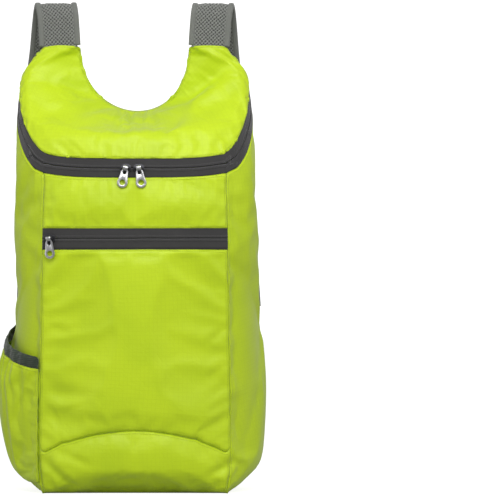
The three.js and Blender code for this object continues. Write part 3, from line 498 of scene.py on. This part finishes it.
def woven_finish(name, colour, rib, thread, roughness=0.8, depth=0.25, light=1.2, dark=0.75):
    """Ribbed narrow cloth: bindings, webbing and elastic."""
    material, tree, shader = new_material(name, Roughness=roughness, Sheen_Weight=0.3, Specular_IOR_Level=0.3)
    uv = add_node(tree, "ShaderNodeUVMap", uv_map="cloth").outputs[0]
    weave = use_group(tree, "rib", {"Vector": uv, "Rib": rib, "Thread": thread})
    mottle = use_group(tree, "mottle", {"Vector": uv, "Scale": 70.0})
    raised = ramp(tree, weave["Height"], -0.5, 0.6)
    # painted light and shade: the raised ribs are lighter and the grooves between them darker
    cloth = blend_colour(tree, raised, shifted(colour, dark), shifted(colour, light))
    worn = blend_colour(tree, calc(tree, "MULTIPLY", mottle["Tint"], 0.3), cloth, shifted(colour, 0.8))
    tree.links.new(worn, shader.inputs["Base Color"])
    bump(tree, shader, weave["Height"], 0.7, depth * MM)
    return material


def knit_finish(colour):
    """Knitted spacer mesh: strands with painted highlights on their raised tops round holes darkened with
    painted shade, the holes kept as an attribute of the strap's surface.
    """
    material, tree, shader = new_material(
        "strap mesh", Roughness=0.9, Sheen_Weight=0.35, Specular_IOR_Level=0.25,
    )
    uv = add_node(tree, "ShaderNodeUVMap", uv_map="cloth").outputs[0]
    hole = add_node(tree, "ShaderNodeAttribute", attribute_name="hole").outputs["Fac"]
    weave = use_group(tree, "rib", {"Vector": uv, "Rib": 0.7 * MM, "Thread": 0.7 * MM})
    raised = ramp(tree, weave["Height"], -0.6, 0.6)
    # painted highlight and shade: the strands' raised tops are lighter and their grooves darker
    strands = blend_colour(tree, raised, shifted(colour, 0.85), shifted(colour, 1.2))
    # painted shade: the pressed holes are darkened
    holed = blend_colour(tree, hole, strands, shifted(colour, 0.22))
    tree.links.new(holed, shader.inputs["Base Color"])
    bump(tree, shader, weave["Height"], 0.6, 0.2 * MM)
    return material


def metal_finish(name, colour, roughness, metallic, grain):
    """Cast or pressed metal with handling marks."""
    material, tree, shader = new_material(name, Metallic=metallic, Specular_IOR_Level=0.5)
    where = add_node(tree, "ShaderNodeTexCoord").outputs["Object"]
    marks = add_node(tree, "ShaderNodeTexNoise", {"Vector": where, "Scale": grain, "Detail": 4.0}).outputs[0]
    fine = add_node(tree, "ShaderNodeTexNoise", {
        "Vector": where, "Scale": grain * 6, "Detail": 2.0,
    }).outputs[0]
    tone = blend_colour(tree, marks, shifted(colour, 0.85), shifted(colour, 1.1))
    tree.links.new(tone, shader.inputs["Base Color"])
    rough = calc(tree, "ADD", calc(tree, "MULTIPLY", marks, 0.2), roughness - 0.1)
    tree.links.new(rough, shader.inputs["Roughness"])
    bump(tree, shader, fine, 0.15, 0.05 * MM)
    return material


materials = {}


def finish(name):
    """The material of a finish, made once."""
    if name not in materials:
        cloth = bpy.context.scene.backpack_cloth
        trim = bpy.context.scene.backpack_trim
        makers = {
            "ripstop": lambda: ripstop_finish("lime ripstop", cloth.lime, cloth.grid),
            "back_padding": lambda: ripstop_finish("padded back", cloth.back_lime, cloth.grid),
            "zip_tape": lambda: tape_finish(trim.tape),
            "elastic": lambda: woven_finish("ribbed elastic", trim.elastic, 2.2 * MM, 1.2 * MM),
            "strap_binding": lambda: woven_finish(
                "strap binding", trim.binding, 0.9 * MM, 0.8 * MM, depth=0.12,
            ),
            "webbing": lambda: woven_finish("webbing", srgb(62, 63, 60), 2.0 * MM, 1.4 * MM, depth=0.4),
            "strap_mesh": lambda: knit_finish(trim.mesh),
            "slider": lambda: metal_finish("slider enamel", srgb(58, 58, 62), 0.38, 0.7, 300),
            "pull": lambda: metal_finish("plated pull", srgb(196, 196, 198), 0.3, 1.0, 260),
            "adjuster": lambda: metal_finish("adjuster plastic", srgb(36, 36, 37), 0.45, 0.0, 400),
        }
        materials[name] = makers[name]()
    return materials[name]


# Mesh helpers

def merged_copy(node):
    """A merged copy of a frame node's mesh."""
    bm = bmesh.new()
    bm.from_mesh(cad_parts[node].data)
    bmesh.ops.remove_doubles(bm, verts=bm.verts, dist=MERGE)
    bm.normal_update()
    return bm


def outer_skin(node):
    """The outward side of a closed cloth wall, without its rims and inner side."""
    bm = merged_copy(node)
    middle = (cad_box[0] + cad_box[1]) / 2

    def outwardness(face):
        return face.calc_area() * face.normal.dot((face.calc_center_median() - middle).normalized())

    seed = max(bm.faces, key=outwardness)
    kept = {seed}
    front = [seed]
    while front:
        face = front.pop()
        for edge in face.edges:
            for other in edge.link_faces:
                if other not in kept and edge.calc_face_angle(math.pi) < FLAT_TURN:
                    kept.add(other)
                    front.append(other)
    bmesh.ops.delete(bm, geom=[face for face in bm.faces if face not in kept], context="FACES")
    return bm


def add_piece(name, bm, nodes=(), body=BODY):
    """Makes a piece of a bmesh, shades it smooth, and lets it ride."""
    mesh = bpy.data.meshes.new(name)
    bm.to_mesh(mesh)
    bm.free()
    for polygon in mesh.polygons:
        polygon.use_smooth = True
        polygon.material_index = 0
    mesh.materials.clear()
    piece = bpy.data.objects.new(name, mesh)
    bpy.context.scene.collection.objects.link(piece)
    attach(piece, body)
    if nodes:
        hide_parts(*nodes)
    return piece


def dress(piece, name):
    """Gives a piece the material of a finish in a new slot."""
    piece.data.materials.append(finish(name))


def evaluated_mesh(piece):
    piece_now = piece.evaluated_get(bpy.context.evaluated_depsgraph_get())
    return bpy.data.meshes.new_from_object(piece_now)


def sewn_edge_points(bm):
    """The points that lie on a seam or a free edge."""
    points = set()
    for edge in bm.edges:
        numbers = {face.material_index for face in edge.link_faces}
        if len(edge.link_faces) < 2 or len(numbers) > 1:
            points.update(edge.verts)
    return points


def match_rims(shell):
    """Gives the back's rim and its neighbours' rims the same points, so that they are sewn all along."""
    loose = {SKIN_NUMBER["side_pocket"], SKIN_NUMBER["side_pocket_binding"]}
    back = SKIN_NUMBER["back_panel"]
    rims = [e for e in shell.edges if e.is_boundary and e.link_faces[0].material_index not in loose]
    points = {}
    for edge in rims:
        for vertex in edge.verts:
            points.setdefault(vertex, set()).add(edge.link_faces[0].material_index)
    for point, numbers in sorted(points.items(), key=lambda item: item[0].index):
        nearest = None
        for edge in rims:
            number = edge.link_faces[0].material_index
            if point in edge.verts or number in numbers or (number != back and back not in numbers):
                continue
            place, share = intersect_point_line(point.co, edge.verts[0].co, edge.verts[1].co)
            gap = (place - point.co).length
            if 0.03 < share < 0.97 and gap < RIM_REACH and (nearest is None or gap < nearest[0]):
                nearest = (gap, edge, share)
        if nearest:
            gap, edge, share = nearest
            added, corner = bmesh.utils.edge_split(edge, edge.verts[0], share)
            corner.co = point.co
            rims.append(added)


def sewn_shell():
    """All outward skins sewn into one fine mesh, whose material numbers tell the panels apart."""
    shell = bmesh.new()
    for number, row in enumerate(SKINS):
        skin = outer_skin(row["node"])
        for face in skin.faces:
            face.material_index = number
        part = bpy.data.meshes.new(row["node"])
        skin.to_mesh(part)
        skin.free()
        shell.from_mesh(part)
        bpy.data.meshes.remove(part)
    bmesh.ops.remove_doubles(shell, verts=shell.verts, dist=SEAM_REACH)
    shell.verts.index_update()
    match_rims(shell)
    bmesh.ops.remove_doubles(shell, verts=shell.verts, dist=SEAM_REACH)
    bmesh.ops.join_triangles(
        shell, faces=shell.faces, cmp_materials=True,
        angle_face_threshold=math.radians(50), angle_shape_threshold=math.radians(70),
    )
    mesh = bpy.data.meshes.new("sewn shell")
    shell.to_mesh(mesh)
    shell.free()
    for _ in SKINS:
        mesh.materials.append(None)
    piece = bpy.data.objects.new("sewn shell", mesh)
    bpy.context.scene.collection.objects.link(piece)
    finer = piece.modifiers.new("finer", "SUBSURF")
    finer.levels = 2
    finer.render_levels = 2
    fine = evaluated_mesh(piece)
    piece.modifiers.remove(finer)
    piece.data = fine
    return piece


def fill_out(piece, pinned, settings):
    """Cloth simulation: the slack cloth fills out between its pinned seams. Returns the places it reaches."""
    group = piece.vertex_groups.new(name="sewn")
    group.add(pinned, 1.0, "REPLACE")
    modifier = piece.modifiers.new("filling", "CLOTH")
    cloth = modifier.settings
    cloth.quality = 4
    cloth.mass = 0.2
    cloth.tension_stiffness = 20
    cloth.compression_stiffness = 20
    cloth.shear_stiffness = 8
    cloth.bending_stiffness = 0.4
    cloth.air_damping = 2
    cloth.vertex_group_mass = group.name
    cloth.shrink_min = -settings.slack
    cloth.use_pressure = True
    cloth.uniform_pressure_force = settings.fill
    cloth.effector_weights.gravity = 0
    modifier.point_cache.frame_start = 1
    modifier.point_cache.frame_end = settings.frames
    for step in range(1, settings.frames + 1):
        bpy.context.scene.frame_set(step)
    settled = evaluated_mesh(piece)
    places = [vertex.co.copy() for vertex in settled.vertices]
    piece.modifiers.remove(modifier)
    bpy.data.meshes.remove(settled)
    bpy.context.scene.frame_set(1)
    return places


def seam_distances(bm, seams):
    """Distance of every point to the nearest seam."""
    tree = KDTree(len(seams))
    for number, vertex in enumerate(seams):
        tree.insert(vertex.co, number)
    tree.balance()
    return [tree.find(vertex.co)[2] for vertex in bm.verts]


def fold_push(place):
    """How far the designed folds push a point of the front inwards."""
    push = 0
    for row in FOLDS:
        start = Vector((row["from_x"], row["from_z"])) * MM
        run = Vector((row["to_x"], row["to_z"])) * MM - start
        off = Vector((place.x, place.z)) - start
        share = min(max(off.dot(run) / run.length_squared, 0), 1)
        distance = (off - run * share).length / (row["width"] * MM)
        taper = math.sin(math.pi * (0.12 + 0.76 * share))
        fold = math.exp(-distance ** 2) - 0.35 * math.exp(-(distance - 1.8) ** 2)
        push += row["depth"] * MM * taper * fold
    return push


def pocket_gathers(place):
    """Upright gathers under the side pocket's elastic, dying out downwards."""
    wander = noise.noise(place * 30) * 6 * MM
    wave = math.sin(2 * math.pi * (place.y + wander) / (11 * MM))
    return 1.3 * MM * wave * smoothstep(place.z, 60 * MM, 132 * MM)


def shape_cloth(piece, settings):
    """Fills out the shell, then adds its folds, seam valleys and puckers."""
    bm = bmesh.new()
    bm.from_mesh(piece.data)
    bm.verts.ensure_lookup_table()
    seams = sewn_edge_points(bm)
    stiff = {v for v in bm.verts if any(f.material_index in TAPE_NUMBERS for f in v.link_faces)}
    floor = {v for v in bm.verts if v.co.z < 0.5 * MM}
    pouch = {v for v in bm.verts if all(f.material_index == SKIN_NUMBER["side_pocket"] for f in v.link_faces)}
    rest = [v.co.copy() for v in bm.verts]
    middle = (min(co.y for co in rest) + max(co.y for co in rest)) / 2
    rear = max(co.y for co in rest) - 10 * MM
    pinned = sorted(v.index for v in seams | stiff | floor)
    places = fill_out(piece, pinned, settings)
    distances = seam_distances(bm, seams)
    bm.normal_update()
    normals = [v.normal.copy() for v in bm.verts]
    for vertex in bm.verts:
        number = vertex.index
        move = places[number] - rest[number]
        if move.length > settings.reach:
            move.length = settings.reach
        normal = normals[number]
        near = distances[number]
        beside = math.exp(-(near / (5 * MM)) ** 2)
        loose = vertex not in stiff and vertex not in floor
        if loose:
            if normal.y < 0.1:
                move -= normal * fold_push(rest[number]) * smoothstep(-normal.y, -0.1, 0.3)
            if vertex in pouch:
                move += normal * pocket_gathers(rest[number])
            ripple = noise.noise(rest[number] * 120) + 0.5 * noise.noise(rest[number] * 260)
            calm = 1 - 0.75 * smoothstep(rest[number].y, middle, rear)
            move += normal * ripple * settings.pucker * beside * calm
            move -= normal * settings.valley * math.exp(-(near / (2.2 * MM)) ** 2)
        vertex.co = rest[number] + move
        if vertex.co.z < 0:
            vertex.co.z = 0
    marks = bm.verts.layers.float.new("seam_distance")
    for vertex in bm.verts:
        vertex[marks] = distances[vertex.index]
    bm.to_mesh(piece.data)
    bm.free()


def lay_out(piece, turn):
    """Unfolds a piece to a UV map in metres, with its first axis across and its second axis up."""
    bpy.context.view_layer.objects.active = piece
    piece.select_set(True)
    piece.data.uv_layers.new(name="cloth")
    bpy.ops.object.mode_set(mode="EDIT")
    bpy.ops.mesh.select_all(action="SELECT")
    bpy.ops.uv.unwrap(method="CONFORMAL", margin=0)
    bpy.ops.object.mode_set(mode="OBJECT")
    piece.select_set(False)
    mesh = piece.data
    layer = mesh.uv_layers["cloth"].data
    up = Vector((0, 0))
    real = 0
    drawn = 0
    for polygon in mesh.polygons:
        loops = list(polygon.loop_indices)
        for first, second in zip(loops, loops[1:] + loops[:1]):
            start, end = (mesh.vertices[mesh.loops[loop].vertex_index].co for loop in (first, second))
            run = end - start
            flat = layer[second].uv - layer[first].uv
            real += run.length
            drawn += flat.length
            up += flat * run.dot(turn)
    scale = real / drawn
    angle = math.atan2(up.x, up.y)
    spin = Matrix.Rotation(angle, 2)
    for loop in layer:
        loop.uv = spin @ (loop.uv * scale)


def cut_panel(shell, number, row):
    """One panel of the shell as its own piece."""
    bm = bmesh.new()
    bm.from_mesh(shell.data)
    others = [face for face in bm.faces if face.material_index != number]
    bmesh.ops.delete(bm, geom=others, context="FACES")
    piece = add_piece(row["piece"], bm, [row["node"]])
    dress(piece, row["finish"])
    if row["finish"] != "zip_tape":
        lay_out(piece, Vector((0, 0, 1)))
    return piece


def finish_wall(piece, wall, levels=1):
    """Smooths a skin and gives it its inner side."""
    smooth = piece.modifiers.new("smooth", "SUBSURF")
    smooth.levels = levels
    smooth.render_levels = levels
    smooth.boundary_smooth = "PRESERVE_CORNERS"
    solid = piece.modifiers.new("wall", "SOLIDIFY")
    solid.thickness = wall
    solid.offset = -1


def zip_lines(shell):
    """The centre line of each zip: the points that its two tapes share, in order along it."""
    bm = bmesh.new()
    bm.from_mesh(shell.data)
    lines = {}
    for name in ("main", "pocket"):
        pair = {SKIN_NUMBER[f"{name}_zip_tape_{half}"] for half in ("upper", "lower")}
        points = set()
        for edge in bm.edges:
            if {face.material_index for face in edge.link_faces} == pair:
                points.update(edge.verts)
        middle = sum((cad_box[0].y, cad_box[1].y)) / 2
        order = sorted(points, key=lambda v: math.atan2(v.co.x, middle + 0.02 - v.co.y))
        lines[name] = [v.co.copy() for v in order]
    bm.free()
    return lines


def map_tape(piece, line):
    """UV map of a tape: metres along the zip and metres from its centre line."""
    tree = KDTree(len(line))
    reach = [0.0]
    for number, point in enumerate(line):
        tree.insert(point, number)
        if number:
            reach.append(reach[-1] + (point - line[number - 1]).length)
    tree.balance()
    mesh = piece.data
    layer = mesh.uv_layers.new(name="cloth").data
    for loop in mesh.loops:
        place = mesh.vertices[loop.vertex_index].co
        near, number, distance = tree.find(place)
        before = line[max(number - 1, 0)]
        after = line[min(number + 1, len(line) - 1)]
        along = (place - near).dot((after - before).normalized())
        off = math.sqrt(max(distance ** 2 - along ** 2, 0))
        layer[loop.index].uv = (reach[number] + along, off if place.z >= near.z else -off)


class BACKPACK_OT_cloth(bpy.types.Operator):
    """Sew, fill and cut the bag's cloth panels, the zip tapes and the side pocket"""

    bl_idname = "backpack.cloth"
    bl_label = "Cloth"

    def execute(self, context):
        settings = context.scene.backpack_cloth
        shell = sewn_shell()
        shape_cloth(shell, settings)
        lines = zip_lines(shell)
        for number, row in enumerate(SKINS):
            piece = cut_panel(shell, number, row)
            if row["node"] in TAPES:
                map_tape(piece, lines["main" if row["node"].startswith("main") else "pocket"])
            wall = settings.back_wall if row["node"] == "back_panel" else settings.wall
            finish_wall(piece, wall)
        mesh = shell.data
        bpy.data.objects.remove(shell)
        bpy.data.meshes.remove(mesh)
        return {"FINISHED"}


# Straps

def rings_of(node, count):
    """Sections along a band node from its low end up. count is the number of points in one section."""
    bm = merged_copy(node)
    low = sorted(bm.verts, key=lambda v: v.co.z)[:count]
    seen = set(low)
    layers = [low]
    while True:
        after = {e.other_vert(v) for v in layers[-1] for e in v.link_edges} - seen
        if not after:
            break
        seen |= after
        layers.append(list(after))
    rings = []
    for layer in layers:
        middle = sum((v.co for v in layer), Vector()) / len(layer)
        rings.append({"middle": middle})
    for number, ring in enumerate(rings):
        before = rings[max(number - 1, 0)]["middle"]
        after = rings[min(number + 1, len(rings) - 1)]["middle"]
        run = (after - before).normalized()
        level = Vector((1, 0, 0)) - run * run.x
        ring["wide"] = level.normalized()
        ring["thick"] = ring["wide"].cross(run).normalized()
    bm.free()
    return rings


def smooth_route(rings, step):
    """Even, smooth sections along the rings, each with its middle, width, thickness and distance along."""
    middles = [ring["middle"] for ring in rings]
    lengths = [(b - a).length for a, b in zip(middles, middles[1:])]
    total = sum(lengths)
    count = max(2, round(total / step))
    route = []
    number = 0
    passed = 0
    for i in range(count + 1):
        goal = total * i / count
        while number < len(lengths) - 1 and passed + lengths[number] < goal:
            passed += lengths[number]
            number += 1
        share = (goal - passed) / lengths[number]
        corners = [middles[min(max(number + k, 0), len(middles) - 1)] for k in (-1, 0, 1, 2)]
        weights = (
            0.5 * (-share + 2 * share ** 2 - share ** 3), 0.5 * (2 - 5 * share ** 2 + 3 * share ** 3),
            0.5 * (share + 4 * share ** 2 - 3 * share ** 3), 0.5 * (share ** 3 - share ** 2),
        )
        middle = sum((corner * weight for corner, weight in zip(corners, weights)), Vector())
        first, second = rings[number], rings[number + 1]
        route.append({
            "middle": middle,
            "wide": first["wide"].lerp(second["wide"], share).normalized(),
            "thick": first["thick"].lerp(second["thick"], share).normalized(),
            "along": goal,
        })
    return route


def flat_section(share, half_width, half_thick):
    """A point of a flat section with round edges, at an even pace round it."""
    straight = 2 * (half_width - half_thick)
    bend = math.pi * half_thick
    passed = share * 2 * (straight + bend)
    sign = 1
    if passed > straight + bend:
        passed -= straight + bend
        sign = -1
    if passed <= straight:
        return sign * (passed - straight / 2), sign * half_thick
    turn = (passed - straight) / half_thick
    return (
        sign * (straight / 2 + half_thick * math.sin(turn)),
        sign * half_thick * math.cos(turn),
    )


def band_mesh(route, around, section):
    """A closed band: a grid wrapped round the section and carried along the route. section(share, along)
    gives the place across and through the band, and the hole mark kept on the surface."""
    bm = bmesh.new()
    steps = len(route) - 1
    bmesh.ops.create_grid(bm, x_segments=around, y_segments=steps, size=0.5)
    mark = bm.verts.layers.float.new("hole")
    layer = bm.loops.layers.uv.new("cloth")
    for vertex in bm.verts:
        share = vertex.co.x + 0.5
        number = round((vertex.co.y + 0.5) * steps)
        stop = route[number]
        across, through, hole = section(share, stop["along"])
        vertex[mark] = hole
        for loop in vertex.link_loops:
            loop[layer].uv = (stop["along"], across if through > 0 else across + 0.1)
        vertex.co = stop["middle"] + stop["wide"] * across + stop["thick"] * through
    bmesh.ops.remove_doubles(bm, verts=bm.verts, dist=0.5 * MERGE)
    rims = [edge for edge in bm.edges if edge.is_boundary]
    bmesh.ops.holes_fill(bm, edges=rims, sides=0)
    bmesh.ops.recalc_face_normals(bm, faces=bm.faces)
    return bm


def strap_section(trim, half_width, half_thick):
    """The padded mesh strap's section, crowned, with diamond holes pressed into both faces."""
    def section(share, along):
        across, through = flat_section(share, half_width, half_thick)
        inside = 1 - abs(across) / half_width
        crown = smoothstep(inside, 0.12, 0.6)
        face = smoothstep(abs(through) / half_thick, 0.93, 0.99) * smoothstep(inside, 0.08, 0.2)
        u = (across + along) / trim.diamond
        v = (across - along) / trim.diamond
        lattice = abs(math.sin(math.pi * u) * math.sin(math.pi * v))
        hole = smoothstep(lattice, 0.34, 0.62) * face
        sign = 1 if through > 0 else -1
        through += sign * (0.5 * MM * crown * face - trim.hole * hole - 0.7 * MM * (1 - crown))
        return across, through, hole
    return section


def binding_section(half_width, half_thick):
    """A tape folded over the strap's edge: a rounded section, rippled by its stitches."""
    def section(share, along):
        ripple = 0.12 * MM * math.sin(along / MM * 1.9)
        turn = 2 * math.pi * share
        cosine, sine = math.cos(turn), math.sin(turn)
        across = half_width * math.copysign(abs(cosine) ** BINDING_SQUARE, cosine)
        through = (half_thick + ripple) * math.copysign(abs(sine) ** BINDING_SQUARE, sine)
        return across, through, 0
    return section


def webbing_section(share, _):
    """Flat webbing with round selvedges, the same all along."""
    across, through = flat_section(share, WEBBING_HALF_WIDTH, WEBBING_HALF_THICK)
    return across, through, 0


class BACKPACK_OT_straps(bpy.types.Operator):
    """Make the padded mesh straps with their stitch-rippled bindings and lower webbing"""

    bl_idname = "backpack.straps"
    bl_label = "Straps"

    def execute(self, context):
        trim = context.scene.backpack_trim
        for side in STRAP_SIDES:
            pad = smooth_route(rings_of(f"strap_{side}", PAD_CORNERS), 0.8 * MM)
            bm = band_mesh(pad, PAD_AROUND, strap_section(trim, PAD_HALF_WIDTH, PAD_HALF_THICK))
            piece = add_piece(f"strap_{side}_pad", bm, [f"strap_{side}"])
            dress(piece, "strap_mesh")
            for edge in ("inner", "outer"):
                node = f"strap_{side}_binding_{edge}"
                route = smooth_route(rings_of(node, BINDING_CORNERS), 1.6 * MM)
                section = binding_section(BINDING_HALF_WIDTH, BINDING_HALF_THICK)
                bm = band_mesh(route, BINDING_AROUND, section)
                piece = add_piece(f"strap_{side}_edge_{edge}", bm, [node])
                dress(piece, "strap_binding")
            webbing = smooth_route(rings_of(f"webbing_{side}", WEBBING_CORNERS), 2 * MM)
            bm = band_mesh(webbing, WEBBING_AROUND, webbing_section)
            piece = add_piece(f"webbing_{side}_band", bm, [f"webbing_{side}"])
            dress(piece, "webbing")
        return {"FINISHED"}


class BACKPACK_OT_hardware(bpy.types.Operator):
    """Round the edges of the sliders, pulls and adjusters"""

    bl_idname = "backpack.hardware"
    bl_label = "Hardware"

    def execute(self, context):
        for row in HARDWARE:
            bm = merged_copy(row["node"])
            bmesh.ops.dissolve_limit(bm, angle_limit=math.radians(1), verts=bm.verts, edges=bm.edges)
            sharp = [edge for edge in bm.edges if edge.calc_face_angle(0) > math.radians(35)]
            bmesh.ops.bevel(
                bm, geom=sharp, offset=row["edge"] * MM, offset_type="OFFSET", affect="EDGES", segments=2,
                profile=0.5, material=-1, clamp_overlap=True,
            )
            bmesh.ops.triangulate(bm, faces=[face for face in bm.faces if len(face.verts) > 4])
            piece = add_piece(f"{row['node']}_made", bm, [row["node"]], row["body"])
            dress(piece, row["finish"])
            piece.data.set_sharp_from_angle(angle=math.radians(40))
        return {"FINISHED"}


class BACKPACK_OT_stage(bpy.types.Operator):
    """Set up the floor, the light and the camera"""

    bl_idname = "backpack.stage"
    bl_label = "Stage"

    def execute(self, context):
        settings = context.scene.backpack_stage
        scene = context.scene
        bm = bmesh.new()
        bmesh.ops.create_grid(bm, x_segments=1, y_segments=1, size=6)
        mesh = bpy.data.meshes.new("floor")
        bm.to_mesh(mesh)
        bm.free()
        floor = bpy.data.objects.new("floor", mesh)
        scene.collection.objects.link(floor)
        material, tree, shader = new_material("pale floor", Roughness=0.9, Specular_IOR_Level=0.1)
        shader.inputs["Base Color"].default_value = (0.5, 0.5, 0.5, 1)
        shader.inputs["Emission Color"].default_value = (1, 1, 1, 1)
        seen = add_node(tree, "ShaderNodeLightPath").outputs["Is Camera Ray"]
        tree.links.new(calc(tree, "MULTIPLY", seen, settings.glow), shader.inputs["Emission Strength"])
        mesh.materials.append(material)

        world = bpy.data.worlds.new("studio")
        world.use_nodes = True
        sky = world.node_tree.nodes["Background"]
        sky.inputs["Color"].default_value = (1, 1, 1, 1)
        seen = add_node(world.node_tree, "ShaderNodeLightPath").outputs["Is Camera Ray"]
        glow = calc(world.node_tree, "MULTIPLY", seen, settings.glow)
        strength = calc(world.node_tree, "ADD", settings.sky, glow)
        world.node_tree.links.new(strength, sky.inputs["Strength"])
        scene.world = world

        for name, place, size, power in (
            ("key light", (0.06, -0.75, 0.95), 0.7, settings.key),
            ("left fill light", (-2.0, -1.2, 0.9), 1.5, settings.fill),
            ("right fill light", (2.0, -1.2, 0.9), 1.5, settings.fill),
        ):
            light = bpy.data.lights.new(name, "AREA")
            light.energy = power
            light.size = size
            lamp = bpy.data.objects.new(name, light)
            lamp.location = place
            lamp.rotation_euler = (Vector((0, 0, 0.25)) - Vector(place)).to_track_quat("-Z", "Y").to_euler()
            scene.collection.objects.link(lamp)

        camera = bpy.data.cameras.new("camera")
        camera.sensor_width = 36
        camera.lens = camera.sensor_width * settings.distance / settings.view
        camera.clip_end = 30
        eye = bpy.data.objects.new("camera", camera)
        front = cad_box[0].y
        eye.location = (settings.across, front - settings.distance, settings.height)
        eye.rotation_euler = (math.pi / 2, 0, 0)
        scene.collection.objects.link(eye)
        scene.camera = eye
        scene.view_settings.view_transform = "Standard"
        return {"FINISHED"}


class BACKPACK_PT_panel(bpy.types.Panel):
    """Lists the backpack's steps and sizes."""

    bl_label = "Packable Backpack"
    bl_space_type = "VIEW_3D"
    bl_region_type = "UI"
    bl_category = "Backpack"

    def draw(self, context):
        for operator in OPERATORS:
            self.layout.operator(operator.bl_idname)
        for name in SETTINGS:
            group = getattr(context.scene, name)
            box = self.layout.box()
            for key in group.bl_rna.properties.keys():
                if key not in ("rna_type", "name"):
                    box.prop(group, key)


SETTINGS = {"backpack_cloth": BackpackCloth, "backpack_trim": BackpackTrim, "backpack_stage": BackpackStage}
OPERATORS = [BACKPACK_OT_cloth, BACKPACK_OT_straps, BACKPACK_OT_hardware, BACKPACK_OT_stage]
CLASSES = [*SETTINGS.values(), *OPERATORS, BACKPACK_PT_panel]


def register():
    for item in CLASSES:
        bpy.utils.register_class(item)
    for name, group in SETTINGS.items():
        setattr(bpy.types.Scene, name, bpy.props.PointerProperty(type=group))


def unregister():
    for name in SETTINGS:
        delattr(bpy.types.Scene, name)
    for item in reversed(CLASSES):
        bpy.utils.unregister_class(item)


def main():
    register()
    bpy.ops.backpack.cloth()
    bpy.ops.backpack.straps()
    bpy.ops.backpack.hardware()
    bpy.ops.backpack.stage()
    bpy.context.view_layer.update()


if __name__ == "__main__":
    main()
